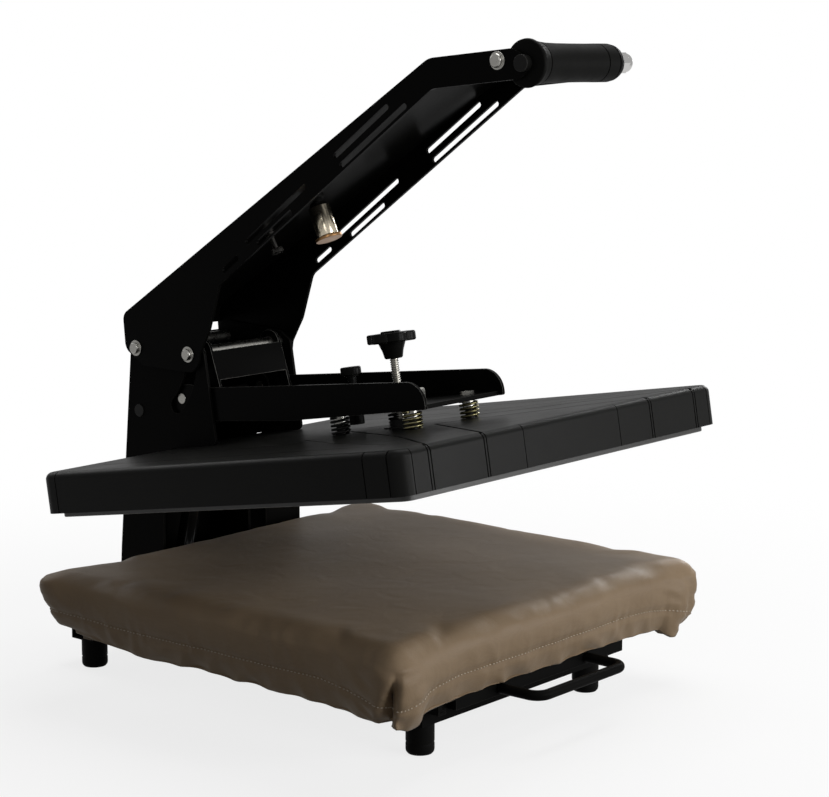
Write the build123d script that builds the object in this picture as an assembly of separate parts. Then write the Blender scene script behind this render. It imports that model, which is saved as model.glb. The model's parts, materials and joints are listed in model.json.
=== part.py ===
from build123d import *
import math
import os

# Slide-out heat press, in millimetres.
# +Z is up, -Y is the user's side, +X is the user's right, and Z = 0 is the floor.
# The rest pose is the open one: the arm is up and the drawer is home.

# overall sizes
press_length = 524.0
cover_width = 440.0
cover_length = 423.0
cover_height = 33.6
tilt = 9.6
close_angle = 46.0

# pivots seen from the side, as (Y, Z)
arm_pivot = (224.0, 302.0)
link_pivot = (153.0, 302.0)
rocker_pivot = (226.0, 241.0)
beam_pivot = (171.3, 257.5)
yoke_foot = (135.0, 250.0)
gas_foot = (232.0, 85.0)
grip_axis = (-236.0, 571.0)
magnet_pivot = (45.0, 440.0)

# outside widths of the nested pairs of plates, and the steel they are cut from
arm_width = 128.0
column_width = 119.0
beam_width = 111.0
rocker_width = 103.0
yoke_width = 94.0
sheet = 3.0
axle_radius = 6.0
stud_radius = 5.0
running_gap = 0.05
soft_gap = 0.3

# base
foot_radius = 12.5
foot_height = 28.0
foot_x = 118.0
tube_height = 12.0
side_tube_width = 24.0
side_tube_x = 84.0
cross_tube_width = 30.0
cross_tube_half = 133.0
tube_wall = 2.0
base_front = -205.0
front_cross_y = -190.0
base_rear = press_length / 2
pan_thickness = 5.0
pan_front = 184.0
base_top = foot_height + tube_height
pan_top = base_top + pan_thickness

# drawer
drawer_travel = 330.0
rail_height = 22.0
rail_sheet = 2.0
rail_gap = 0.3
rail_rear = pan_front
tray_half_width = 119.5
tray_front = -215.0
tray_rear = 150.0
tray_sheet = 2.5
slab_width = 400.0
slab_length = 392.0
slab_thickness = 12.0
slab_bottom = 80.0
pad_centre_y = -22.0
pad_thickness = 18.0
pad_corner = 24.0
pad_cover_top = 121.0
pad_cover_low = 50.0
pad_cover_width = 446.0
pad_cover_length = 430.0

# upper platen, drawn level with the beam pivot at Y = 0, Z = 0
cover_rear = 15.7
cover_top = -49.4
cover_wall = 3.0
heat_plate_width = 420.0
heat_plate_length = 414.0
heat_plate_thickness = 12.0
heat_plate_lip = 5.0
screw_y = -222.0
screw_radius = 4.0
platen_travel = 14.5
guide_centre_y = -226.0
guide_spacing_x = 78.0
guide_spacing_y = 86.0
guide_radius = 4.0
guide_gap = 0.3
channel_floor = -29.4
channel_floor_thickness = 4.0
beam_top = -5.4
spring_pad_thickness = 2.0


def block(x0, x1, y0, y1, z0, z1):
    """A box between two corners."""
    middle = ((x0 + x1) / 2, (y0 + y1) / 2, (z0 + z1) / 2)
    return Pos(*middle) * Box(abs(x1 - x0), abs(y1 - y0), abs(z1 - z0))


def rod_x(point, radius, x0, x1):
    """A round bar along X through a side-view point."""
    return Pos((x0 + x1) / 2, *point) * Rot(0, 90, 0) * Cylinder(radius, abs(x1 - x0))


def rod_z(x, y, radius, z0, z1):
    """A round bar along Z."""
    return Pos(x, y, (z0 + z1) / 2) * Cylinder(radius, abs(z1 - z0))


def corner_outline(corners):
    """A closed side-view outline from (Y, Z, radius) corners."""
    points = [(y, z) for y, z, radius in corners]
    return FilletPolyline(*points, radius=[radius for y, z, radius in corners], close=True)


def side_plate(outline, x0, thickness):
    """A plate cut to a side-view outline, from X = x0 towards +X."""
    face = make_face(Plane.YZ.offset(x0) * outline)
    return extrude(face, thickness, dir=(1, 0, 0))


def link_plate(first, second, radius, x0, thickness):
    """A link plate with a round end about each of two side-view points."""
    middle = ((first[0] + second[0]) / 2, (first[1] + second[1]) / 2)
    angle = math.degrees(math.atan2(second[1] - first[1], second[0] - first[0]))
    outline = Pos(*middle) * Rot(0, 0, angle) * SlotCenterToCenter(math.dist(first, second), 2 * radius)
    return extrude(Plane.YZ.offset(x0) * outline, thickness, dir=(1, 0, 0))


def pair(make, width, thickness):
    """A left and a right plate whose outer faces are width apart."""
    return [make(-width / 2, thickness), make(width / 2 - thickness, thickness)]


def turned(point, angle, centre):
    """A side-view point turned about another; a positive angle lowers the front."""
    a = math.radians(angle)
    y, z = point[0] - centre[0], point[1] - centre[1]
    return (centre[0] + y * math.cos(a) - z * math.sin(a), centre[1] + y * math.sin(a) + z * math.cos(a))


def strip(points, thickness, x0, x1):
    """A bent sheet that follows side-view points, with its thickness on their right."""
    inner = []
    for i, point in enumerate(points):
        before = points[max(i - 1, 0)]
        after = points[min(i + 1, len(points) - 1)]
        a = math.atan2(point[1] - before[1], point[0] - before[0]) if i else None
        b = math.atan2(after[1] - point[1], after[0] - point[0]) if i < len(points) - 1 else None
        a = b if a is None else a
        b = a if b is None else b
        bisector = (a + b) / 2 - math.pi / 2
        reach = thickness / math.cos((a - b) / 2)
        inner.append((point[0] + reach * math.cos(bisector), point[1] + reach * math.sin(bisector)))
    outline = Polyline(*points, *reversed(inner), close=True)
    return side_plate(outline, x0, x1 - x0)


def tilted(shape):
    """Turns a shape drawn level about the beam pivot into the open pose."""
    return Pos(0, *beam_pivot) * Rot(-tilt, 0, 0) * shape


def save(name, *solids):
    """Writes one node, with each piece as its own solid."""
    shape = solids[0] if len(solids) == 1 else Compound(children=list(solids))
    export_step(shape, "parts/" + name + ".step")


os.makedirs("parts", exist_ok=True)


# base frame: two cross tubes on the feet, two side tubes between them and a rear pan under the column
def tube(x0, x1, y0, y1):
    """A rectangular steel tube of the base, open at its ends."""
    low, high = foot_height + tube_wall, base_top - tube_wall
    outer = block(x0, x1, y0, y1, foot_height, base_top)
    if abs(y1 - y0) > abs(x1 - x0):
        return outer - block(x0 + tube_wall, x1 - tube_wall, y0 - 1, y1 + 1, low, high)
    return outer - block(x0 - 1, x1 + 1, y0 + tube_wall, y1 - tube_wall, low, high)


front_cross_rear = front_cross_y + cross_tube_width
rear_cross_y = base_rear - 15 - cross_tube_width
base_tubes = []
for y in (front_cross_y, rear_cross_y):
    base_tubes.append(tube(-cross_tube_half, cross_tube_half, y, y + cross_tube_width))
for x in (-side_tube_x, side_tube_x):
    half_tube = side_tube_width / 2
    base_tubes.append(tube(x - half_tube, x + half_tube, front_cross_rear, rear_cross_y))
pan = block(-cross_tube_half, cross_tube_half, pan_front, base_rear, base_top, pan_top)

# the lug and pin for the lower end of the gas spring are welded to the pan
lug_gap = 12.0
lug_sheet = 4.0
gas_pin_radius = 4.0
lug_corners = [(gas_foot[0] - 15, pan_top, 0.5), (gas_foot[0] + 15, pan_top, 0.5),
               (gas_foot[0] + 8, gas_foot[1] + 9, 6), (gas_foot[0] - 8, gas_foot[1] + 9, 6)]
for x0 in (-lug_gap / 2 - lug_sheet, lug_gap / 2):
    pan += side_plate(corner_outline(lug_corners), x0, lug_sheet)
pan += rod_x(gas_foot, gas_pin_radius, -lug_gap / 2 - lug_sheet - 1, lug_gap / 2 + lug_sheet + 1)

# feet
foot_round = 3.0
feet = []
for x in (-foot_x, foot_x):
    for y in (front_cross_y + cross_tube_width / 2, rear_cross_y + cross_tube_width / 2):
        foot = rod_z(x, y, foot_radius, 0, foot_height)
        feet.append(fillet(foot.edges().group_by(Axis.Z)[0], foot_round))
save("feet", *feet)

# column: two plates with an overhanging head, on the rear of the base
head_front = 137.0
head_low = 218.5
head_drop_y = 122.5
shank_front = 196.0
flange_width = 24.0
bolt_radius = 4.0
slot_half = axle_radius + 1.5
bolt_rows = (shank_front + 14, base_rear - 18)
bolt_x = column_width / 2 + flange_width / 2
column_corners = [
    (shank_front, pan_top, 0.5), (base_rear - 2, pan_top, 0.5), (base_rear - 6, 103, 60),
    (arm_pivot[0] + 13.5, arm_pivot[1] - 8, 12), (arm_pivot[0] + 9, arm_pivot[1] + 16, 12),
    (150, 313, 6), (head_front, 305, 5), (head_drop_y, head_low, 6), (186, 208, 6),
    (shank_front, 188, 10),
]


def arc_slot(x0, thickness):
    """The curved slot that the link axle runs in as the arm comes down."""
    cut = None
    steps = 8
    centres = [turned(link_pivot, close_angle * i / steps, arm_pivot) for i in range(steps + 1)]
    for first, second in zip(centres, centres[1:]):
        piece = link_plate(first, second, slot_half, x0, thickness)
        cut = piece if cut is None else cut + piece
    return cut


def column_plate(x0, thickness):
    """One side of the column, with its pivot bores and the link's slot."""
    plate = side_plate(corner_outline(column_corners), x0, thickness)
    plate -= arc_slot(x0 - 1, thickness + 2)
    for point in (arm_pivot, rocker_pivot):
        plate -= rod_x(point, axle_radius + running_gap, x0 - 1, x0 + thickness + 1)
    side = 1 if x0 > 0 else -1
    edge = side * column_width / 2
    outer = edge + side * flange_width
    plate += block(edge, outer, shank_front + 2, base_rear - 3, pan_top, pan_top + thickness)
    for y in bolt_rows:
        plate -= rod_z(edge + side * flange_width / 2, y, bolt_radius + guide_gap, pan_top - 1, pan_top + 9)
    return plate


for x in (-bolt_x, bolt_x):
    for y in bolt_rows:
        pan -= rod_z(x, y, bolt_radius + running_gap, base_top - 1, pan_top + 1)
save("base_frame", *base_tubes, pan)
columns = pair(column_plate, column_width, sheet)
save("column_left", columns[0])
save("column_right", columns[1])

# hexagon bolts hold the column's flanges to the pan
bolt_head_height = 5.0
bolt_hex = 7.0
bolts = []
for x in (-bolt_x, bolt_x):
    for y in bolt_rows:
        top = pan_top + sheet
        head = Pos(x, y, top) * extrude(RegularPolygon(bolt_hex, 6), bolt_head_height)
        bolts.append(rod_z(x, y, bolt_radius, base_top + 0.5, top) + head)
save("column_bolts", *bolts)

# rear cover, a bent sheet between the column plates that stops short of the arm's axle
rear_sheet = 2.0
inner_column_x = column_width / 2 - sheet
rear_line = [(235.0, 308), (237.3, 290), (245, 215), (base_rear - 8.5, 103), (base_rear - 4.5, pan_top + 0.5)]
rear_cover = strip(rear_line, rear_sheet, -inner_column_x, inner_column_x)
save("column_rear_cover", rear_cover)


# drawer slides: outer and middle members are channels, the inner one is a bar
def channel_rail(side, inner_x, outer_x, low, high, y0, y1):
    """A channel that opens towards the middle of the machine."""
    body = block(side * inner_x, side * outer_x, y0, y1, low, high)
    return body - block(side * (inner_x - 1), side * (outer_x - rail_sheet), y0 - 1, y1 + 1,
                        low + rail_sheet, high - rail_sheet)


step = rail_sheet + rail_gap
rail_inner_x = tray_half_width + rail_gap
rail_outer_x = tray_half_width + 10.5
rail_low = base_top
rail_high = base_top + rail_height
outer_rails = []
middle_rails = []
inner_rails = []
for side in (-1, 1):
    outer_rails.append(channel_rail(side, rail_inner_x, rail_outer_x, rail_low, rail_high,
                                    base_front, rail_rear))
    middle_rails.append(channel_rail(side, rail_inner_x, rail_outer_x - step, rail_low + step,
                                     rail_high - step, base_front, rail_rear - 4))
    inner_rails.append(block(side * tray_half_width, side * (rail_outer_x - 2 * step), base_front, tray_rear,
                             rail_low + 2 * step, rail_high - 2 * step))
save("rail_outer", *outer_rails)
save("rail_middle", *middle_rails)
save("rail_inner", *inner_rails)

# tray, a folded sheet that hangs over the inner rails' inside
tray_low = rail_low + 2 * step
tray_high = rail_high - 0.5
tray = block(-tray_half_width, tray_half_width, tray_front, tray_rear, tray_low, tray_high)
tray_inner_x = tray_half_width - tray_sheet
tray -= block(-tray_inner_x, tray_inner_x, tray_front + tray_sheet, tray_rear + 1,
              tray_low - 1, tray_high - tray_sheet)
save("slide_tray", tray)

# pull handle, a bent round bar across the front of the tray
handle_radius = 4.5
handle_half = 62.0
handle_reach = -base_rear - tray_front + handle_radius
handle_z = tray_low + 6.5
handle_corners = [(-handle_half, tray_front, handle_z), (-handle_half, tray_front + handle_reach, handle_z),
                  (handle_half, tray_front + handle_reach, handle_z), (handle_half, tray_front, handle_z)]
handle_path = FilletPolyline(*handle_corners, radius=[12.0, 12.0])
handle_start = Plane(handle_corners[0], z_dir=(0, -1, 0))
save("tray_handle", sweep(handle_start * Circle(handle_radius), path=handle_path))

# posts, lower platen and pressing pad
post_radius = 10.0
post_x = 95.0
post_y = 140.0
posts = []
for x in (-post_x, post_x):
    for y in (pad_centre_y - post_y, pad_centre_y + post_y):
        posts.append(rod_z(x, y, post_radius, tray_high, slab_bottom))
save("platen_posts", *posts)


def pad_slab(low, high, grow=0.0):
    """A rounded slab under or inside the cloth cover."""
    half_x = slab_width / 2 + grow
    half_y = slab_length / 2 + grow
    slab = block(-half_x, half_x, pad_centre_y - half_y, pad_centre_y + half_y, low, high)
    return fillet(slab.edges().filter_by(Axis.Z), pad_corner + grow)


pad_low = slab_bottom + slab_thickness + soft_gap
pad_high = pad_low + pad_thickness
save("lower_platen", pad_slab(slab_bottom, slab_bottom + slab_thickness))
save("pressing_pad", pad_slab(pad_low, pad_high))


# fitted cloth cover: crowned on top, drawn in towards its hem, open below
def cover_section(z, grow_x, grow_y, radius):
    """A rounded rectangle of the cloth cover at one height."""
    plane = Plane((0, pad_centre_y, z), z_dir=(0, 0, 1))
    return plane * RectangleRounded(pad_cover_width + grow_x, pad_cover_length + grow_y, radius)


cover_levels = [(pad_cover_low, -22, -14, 22), (76, -4, -2, 24), (100, 0, 0, 26), (112, -8, -8, 30),
                (pad_cover_top - 3, -40, -40, 40), (pad_cover_top, -200, -200, 60)]
pad_cover = loft([cover_section(*level) for level in cover_levels], ruled=True)
pad_cover -= pad_slab(pad_cover_low - 1, pad_high + soft_gap, soft_gap)
hem_middle = 150.0
hem_middle_low = 64.0
hem_side_low = 54.0
reach_y = pad_cover_length
pad_cover -= block(-hem_middle, hem_middle, -reach_y, reach_y, pad_cover_low - 1, hem_middle_low)
pad_cover -= block(-pad_cover_width, pad_cover_width, pad_centre_y, reach_y, pad_cover_low - 1, hem_side_low)
save("pad_cover", pad_cover)

# rocker: two plates on an axle at the column's rear carry the beam's rear end
rocker_end = 13.0
cross_rod = (rocker_pivot[0] - 36.4, rocker_pivot[1] + 11.0)


def rocker_plate(x0, thickness):
    """One rocker plate, with bores for its axle, cross rod and beam stud."""
    plate = link_plate(rocker_pivot, beam_pivot, rocker_end, x0, thickness)
    for point, radius in ((rocker_pivot, axle_radius), (cross_rod, axle_radius), (beam_pivot, stud_radius)):
        plate -= rod_x(point, radius + running_gap, x0 - 1, x0 + thickness + 1)
    return plate


save("rocker_plates", *pair(rocker_plate, rocker_width, sheet))
rocker_axle_end = arm_width / 2 - sheet - 0.5
stud_inner = rocker_width / 2 - sheet
stud_outer = column_width / 2 - sheet - 0.4
save("rocker_pins", rod_x(rocker_pivot, axle_radius, -rocker_axle_end, rocker_axle_end),
     rod_x(cross_rod, axle_radius, -rocker_width / 2, rocker_width / 2),
     rod_x(beam_pivot, stud_radius, -stud_outer, -stud_inner),
     rod_x(beam_pivot, stud_radius, stud_inner, stud_outer))

# gas spring, drawn upright on its lower pin and then leaned forward
gas_lean = math.degrees(math.atan2(gas_foot[0] - cross_rod[0], cross_rod[1] - gas_foot[1]))
gas_length = math.dist(gas_foot, cross_rod)
gas_radius = 9.0
gas_bore = 7.5
gas_rod_radius = 4.0
gas_body_length = 112.0
gas_cap = 8.0
piston_length = 8.0
piston_gap = 0.2
eye_wall = 4.0
eye_slack = 2.2


def leaned(shape):
    """Places a shape drawn upright on the gas spring's lower pin."""
    return Pos(0, *gas_foot) * Rot(gas_lean, 0, 0) * shape


cylinder = rod_z(0, 0, gas_radius, 12, gas_body_length) - rod_z(0, 0, gas_bore, 18, gas_body_length - gas_cap)
cylinder -= rod_z(0, 0, gas_rod_radius + running_gap, gas_body_length - gas_cap - 1, gas_body_length + 1)
lower_eye = Rot(0, 90, 0) * Cylinder(9, lug_gap - 1) + block(-5, 5, -5, 5, 4, 13)
lower_eye -= Rot(0, 90, 0) * Cylinder(gas_pin_radius + running_gap, lug_gap + 4)
save("gas_cylinder", leaned(cylinder + lower_eye))
piston_z = gas_body_length - 3 * gas_cap
eye_radius = axle_radius + eye_slack + eye_wall
gas_rod = rod_z(0, 0, gas_rod_radius, piston_z - 1, gas_length - eye_radius + 1)
gas_rod += rod_z(0, 0, gas_bore - piston_gap, piston_z - piston_length, piston_z)
gas_rod += Pos(0, 0, gas_length) * Rot(0, 90, 0) * Cylinder(eye_radius, lug_gap)
gas_rod -= Pos(0, 0, gas_length) * Rot(0, 90, 0) * Cylinder(eye_radius - eye_wall, lug_gap + 2)
save("gas_rod", leaned(gas_rod))

# yoke, drawn hanging from the link axle and then swung forward to the beam
yoke_length = math.dist(link_pivot, yoke_foot)
yoke_lean = -math.degrees(math.atan2(link_pivot[0] - yoke_foot[0], link_pivot[1] - yoke_foot[1]))
yoke_end = 13.0
yoke_slack = 1.8
yoke_lost_motion = 5.5


def yoke_side(x0, thickness):
    """One side of the yoke, with a slot at the foot for lost motion."""
    side = link_plate((0, 0), (0, -yoke_length), yoke_end, x0, thickness)
    side -= rod_x((0, 0), axle_radius + running_gap, x0 - 1, x0 + thickness + 1)
    foot = (0, -yoke_length)
    slot_end = (0, yoke_lost_motion - yoke_length)
    return side - link_plate(foot, slot_end, stud_radius + yoke_slack, x0 - 1, thickness + 2)


yoke_inner = yoke_width / 2 - sheet
yoke_parts = pair(yoke_side, yoke_width, sheet)
yoke_web = block(-yoke_inner, yoke_inner, -yoke_end, -yoke_end + sheet, -30, -2)
yoke = yoke_parts[0] + yoke_parts[1] + yoke_web
save("link_yoke", Pos(0, *link_pivot) * Rot(yoke_lean, 0, 0) * yoke)

# beam, drawn level: two side plates on a cross plate
beam_nose = -299.0
nose_radius = 20.0
beam_rear_top = 8.0
beam_rear_low = -22.0
beam_ear = 12.5
cross_rear = -140.0
floor_top = channel_floor + channel_floor_thickness
foot_level = turned(yoke_foot, tilt, beam_pivot)
yoke_foot_local = (foot_level[0] - beam_pivot[0], foot_level[1] - beam_pivot[1])
beam_corners = [
    (beam_ear, beam_ear, 12), (beam_ear, beam_rear_low + 6, 10), (-8, beam_rear_low, 10),
    (cross_rear, channel_floor, 40), (beam_nose, channel_floor, 2), (beam_nose, beam_top, nose_radius),
    (-30, beam_rear_top, 14), (-beam_ear, beam_ear, 8),
]


def beam_plate(x0, thickness):
    """One side plate of the beam."""
    plate = side_plate(corner_outline(beam_corners), x0, thickness)
    for point in ((0, 0), yoke_foot_local):
        plate -= rod_x(point, stud_radius + running_gap, x0 - 1, x0 + thickness + 1)
    return plate


beam_inner = beam_width / 2 - sheet
plates = pair(beam_plate, beam_width, sheet)
save("beam_left", tilted(plates[0]))
save("beam_right", tilted(plates[1]))
cross_front = beam_nose + 5
striker_y = -168.0
striker_radius = 4.0
bushing_radius = 5.6
bushing_drop = 8.0
bushing_head = 3.0
bushing_hex = 6.5
guide_points = []
for sx in (-1, 1):
    for sy in (-1, 1):
        guide_points.append((sx * guide_spacing_x / 2, guide_centre_y + sy * guide_spacing_y / 2))
cross = block(-beam_inner, beam_inner, cross_front, cross_rear, channel_floor, floor_top)
cross -= rod_z(0, screw_y, screw_radius + guide_gap, channel_floor - 1, floor_top + 1)
cross -= rod_z(0, striker_y, striker_radius + running_gap, channel_floor - 1, floor_top + 1)
for x, y in guide_points:
    cross -= rod_z(x, y, bushing_radius + running_gap, channel_floor - 1, floor_top + 1)
save("beam_cross_plate", tilted(cross))
pin_end = beam_width / 2
save("yoke_pin", tilted(rod_x(yoke_foot_local, stud_radius, -pin_end, pin_end)))

# threaded block for the pressure screw, and the bushings that the guide bolts run in
nut_half = 17.0
nut_top = -14.0
nut = block(-nut_half, nut_half, screw_y - nut_half, screw_y + nut_half, floor_top, nut_top)
nut -= rod_z(0, screw_y, screw_radius + running_gap, floor_top - 1, nut_top + 1)
nut = chamfer(nut.edges().group_by(Axis.Z)[-1], 1.2)
inserts = [nut]
for x, y in guide_points:
    bushing = rod_z(x, y, bushing_radius, channel_floor - bushing_drop, floor_top)
    bushing += Pos(x, y, floor_top) * extrude(RegularPolygon(bushing_hex, 6), bushing_head)
    inserts.append(bushing - rod_z(x, y, guide_radius + running_gap, channel_floor - 20, floor_top + 20))
save("beam_inserts", *[tilted(insert) for insert in inserts])

# striker that the magnet lands on
striker_top = 11.5
striker_cap_thickness = 7.0
cap_low = striker_top - striker_cap_thickness
post = rod_z(0, striker_y, striker_radius, channel_floor, cap_low - 2)
post += rod_z(0, striker_y, 7.0, channel_floor - 12, channel_floor)
cap = rod_z(0, striker_y, 9.5, cap_low, striker_top)
cap = fillet(cap.edges().group_by(Axis.Z)[-1], 1.5) + rod_z(0, striker_y, 6.5, cap_low - 2, cap_low)
save("striker", tilted(post), tilted(cap))

# upper platen: moulded cover over insulation, element and cast plate
cover_front = cover_rear - cover_length
cover_low = cover_top - cover_height
plate_low = cover_low - heat_plate_lip
plate_high = plate_low + heat_plate_thickness
plate_middle_y = (cover_front + cover_rear) / 2
boss_stem = 8.0
element_radius = 4.0
board_low = plate_high + 2 * element_radius + soft_gap
board_high = cover_top - cover_wall - soft_gap
half_width = cover_width / 2
cover = block(-half_width, half_width, cover_front, cover_rear, cover_low, cover_top)
cover = fillet(cover.edges().filter_by(Axis.Z), 12)
cover = fillet(cover.edges().group_by(Axis.Z)[-1], 3.5)
cover_inner_x = half_width - cover_wall
cover -= block(-cover_inner_x, cover_inner_x, cover_front + cover_wall, cover_rear - cover_wall,
               cover_low - 1, cover_top - cover_wall)
cover -= rod_z(0, screw_y, boss_stem + guide_gap, cover_top - 10, cover_top + 1)
for x, y in guide_points:
    cover -= rod_z(x, y, guide_radius + guide_gap, cover_top - 10, cover_top + 1)
groove_depth = 1.2
groove_width = 2.2
for x in (-187, -183, -117, -113, 189, 193):
    cover -= block(x - groove_width / 2, x + groove_width / 2, cover_front - 1, cover_front + groove_depth,
                   cover_low - 1, cover_top + 1)
save("platen_cover", tilted(cover))
heat_x = heat_plate_width / 2
heat_y0 = plate_middle_y - heat_plate_length / 2
heat_y1 = plate_middle_y + heat_plate_length / 2
heat = block(-heat_x, heat_x, heat_y0, heat_y1, plate_low, plate_high)
heat = fillet(heat.edges().filter_by(Axis.Z), 8)
save("heat_platen", tilted(heat))
board = block(-heat_x, heat_x, heat_y0, heat_y1, board_low, board_high)
board -= rod_z(0, screw_y, boss_stem + guide_gap, board_low - 1, board_high + 1)
for x, y in guide_points:
    board -= rod_z(x, y, guide_radius + guide_gap, board_low - 1, board_high + 1)
save("insulation_board", tilted(board))

# heating element: one tube that runs to and fro over the cast plate
element_z = plate_high + element_radius
element_rows = [-165, -99, 99, 165]
row_low = heat_y0 + 30
row_high = heat_y1 - 40
element_points = []
for i, x in enumerate(element_rows):
    ends = (row_high, row_low) if i % 2 == 0 else (row_low, row_high)
    element_points += [(x, ends[0], element_z), (x, ends[1], element_z)]
element_path = FilletPolyline(*element_points, radius=[20.0] * (len(element_points) - 2))
element_start = Plane(element_points[0], z_dir=(0, -1, 0))
save("heating_element", tilted(sweep(element_start * Circle(element_radius), path=element_path)))
sensor_x = 60.0
sensor_y = -112.0
sensor = rod_z(sensor_x, sensor_y, 6, plate_high, plate_high + 7)
sensor += rod_z(sensor_x, sensor_y, 2, plate_high, plate_high + 8)
save("temperature_sensor", tilted(sensor))

# boss that takes the thrust of the screw, on a stem down to the cast plate
boss_top = cover_top + 10.0
boss = rod_z(0, screw_y, boss_stem, plate_high, cover_top) + rod_z(0, screw_y, 17, cover_top, cover_top + 4)
boss += rod_z(0, screw_y, 11, cover_top + 4, boss_top)
boss -= rod_z(0, screw_y, screw_radius + running_gap, cover_top + 1, boss_top + 1)
save("thrust_boss", tilted(boss))

# guide bolts stand on the cast plate and slide in the beam's bushings
guide_top = floor_top + bushing_head - 0.8
guides = []
pads = []
for x, y in guide_points:
    guides.append(rod_z(x, y, guide_radius, plate_high, guide_top))
    pads.append(rod_z(x, y, 10, cover_top, cover_top + spring_pad_thickness)
                - rod_z(x, y, guide_radius + guide_gap, cover_top - 1, cover_top + 4))
save("guide_bolts", *[tilted(guide) for guide in guides])
save("spring_pads", *[tilted(spring_pad) for spring_pad in pads])

# springs on the guide bolts
coil_radius = 7.8
wire_radius = 1.15
coil_turns = 4.5
coil_low = cover_top + spring_pad_thickness
coil_high = channel_floor
seat_gap = 0.2


def coil_point(turn, pitch):
    """A point on the coil and the coil's direction there."""
    a = 2 * math.pi * turn
    point = Vector(coil_radius * math.cos(a), coil_radius * math.sin(a), pitch * turn)
    along = Vector(-coil_radius * math.sin(a) * 2 * math.pi, coil_radius * math.cos(a) * 2 * math.pi, pitch)
    return point, along.normalized()


def biarc(start, start_way, end, end_way):
    """Two arcs that leave start and reach end along the given directions."""
    chord = end - start
    ways = start_way + end_way
    a = 2 * (1 - start_way.dot(end_way))
    b = 2 * chord.dot(ways)
    reach = (-b + math.sqrt(b * b + 4 * a * chord.dot(chord))) / (2 * a)
    first_corner = start + start_way * reach
    second_corner = end - end_way * reach
    middle = (first_corner + second_corner) * 0.5
    way = (second_corner - first_corner).normalized()
    return [TangentArc(start, middle, tangent=start_way), TangentArc(middle, end, tangent=way)]


def coil_spring():
    """One compression spring, standing on Z = 0."""
    height = coil_high - coil_low - 2 * wire_radius - 2 * seat_gap
    pitch = height / coil_turns
    quarter_turns = int(coil_turns * 4)
    edges = []
    for i in range(quarter_turns):
        start, start_way = coil_point(i / 4, pitch)
        end, end_way = coil_point((i + 1) / 4, pitch)
        edges += biarc(start, start_way, end, end_way)
    first, first_way = coil_point(0, pitch)
    last, last_way = coil_point(coil_turns, pitch)
    tail = 2 * wire_radius
    edges = [Line(first - first_way * tail, first)] + edges + [Line(last, last + last_way * tail)]
    path = Wire([edge.edge() for edge in edges])
    section = Plane(first - first_way * tail, z_dir=first_way) * Circle(wire_radius)
    return Pos(0, 0, wire_radius + seat_gap) * sweep(section, path=path), pitch - 2 * wire_radius


spring, coil_gap = coil_spring()
print("least gap between the spring's turns", round(coil_gap, 2))
front_springs = []
rear_springs = []
for x, y in guide_points:
    placed = tilted(Pos(x, y, coil_low) * spring)
    (front_springs if y < guide_centre_y else rear_springs).append(placed)
save("front_springs", *front_springs)
save("rear_springs", *rear_springs)

# pressure screw and its star knob
knob_low = 15.0
star_low = 29.5
star_high = 38.2
screw_bite = 18.0
screw_foot = cover_top + 1 + soft_gap
screw = rod_z(0, screw_y, screw_radius, screw_foot, knob_low + screw_bite)
save("pressure_screw", tilted(screw))
lobe_count = 6
lobe_ring = 15.8
lobe_radius = 6.6
star = Circle(lobe_ring + 1)
for i in range(lobe_count):
    a = 2 * math.pi * i / lobe_count
    star += Pos(lobe_ring * math.cos(a), lobe_ring * math.sin(a)) * Circle(lobe_radius)
knob = Pos(0, 0, star_low) * extrude(star, star_high - star_low)
hub = Pos(0, 0, (knob_low + star_low) / 2) * Cone(8.5, 12.5, star_low - knob_low)
dome = Pos(0, 0, star_high + 1) * Cylinder(11, 2)
knob = knob + hub + dome
knob -= rod_z(0, 0, screw_radius + running_gap, knob_low - 1, knob_low + screw_bite + soft_gap)
save("pressure_knob", tilted(Pos(0, screw_y, 0) * knob))

# arm: two slotted plates and a folded web along their top
arm_corners = [
    (242, 333, 10), (-138, 575, 22), (-226, 583, 12), (-248, 571, 10), (-234, 558.5, 6), (-142, 550, 14),
    (111, 370, 12), (125, 327, 20), (139, 303, 12), (141, 285, 14), (214, 286, 14), (239, 300, 12),
]
slot_width = 5.0
grip_rod_radius = 7.0
tie_point = (-211.0, 573.0)
tie_radius = 3.0
arm_slots = [((74, 412), (4, 463)), ((60, 411.5), (21, 440)), ((-34, 492), (-92, 534)),
             ((-41, 484), (-112, 535)), ((104, 384), (88, 395.5))]


def arm_plate(x0, thickness):
    """One side of the arm, with its bores and lightening slots."""
    plate = side_plate(corner_outline(arm_corners), x0, thickness)
    for point, radius in ((arm_pivot, axle_radius), (link_pivot, axle_radius), (grip_axis, grip_rod_radius)):
        plate -= rod_x(point, radius + running_gap, x0 - 1, x0 + thickness + 1)
    for first, second in arm_slots:
        plate -= link_plate(first, second, slot_width / 2, x0 - 1, thickness + 2)
    plate -= rod_x(tie_point, tie_radius + running_gap, x0 - 1, x0 + thickness + 1)
    return plate


arm_inner = arm_width / 2 - sheet
arms = pair(arm_plate, arm_width, sheet)
save("arm_left", arms[0])
save("arm_right", arms[1])
top_rise = (575 - 333) / (-138 - 242)
web_start = (236, 333 + top_rise * (236 - 242) - 1.5)
web_bend = (-138, 573.5)
web_end = (-176, 577.0)
web_rear = [(240.4, 327), (240.2, 315)]
web = strip([web_end, web_bend, web_start, *web_rear], sheet, -arm_inner, arm_inner)
web_underside = -math.atan(top_rise)

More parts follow.
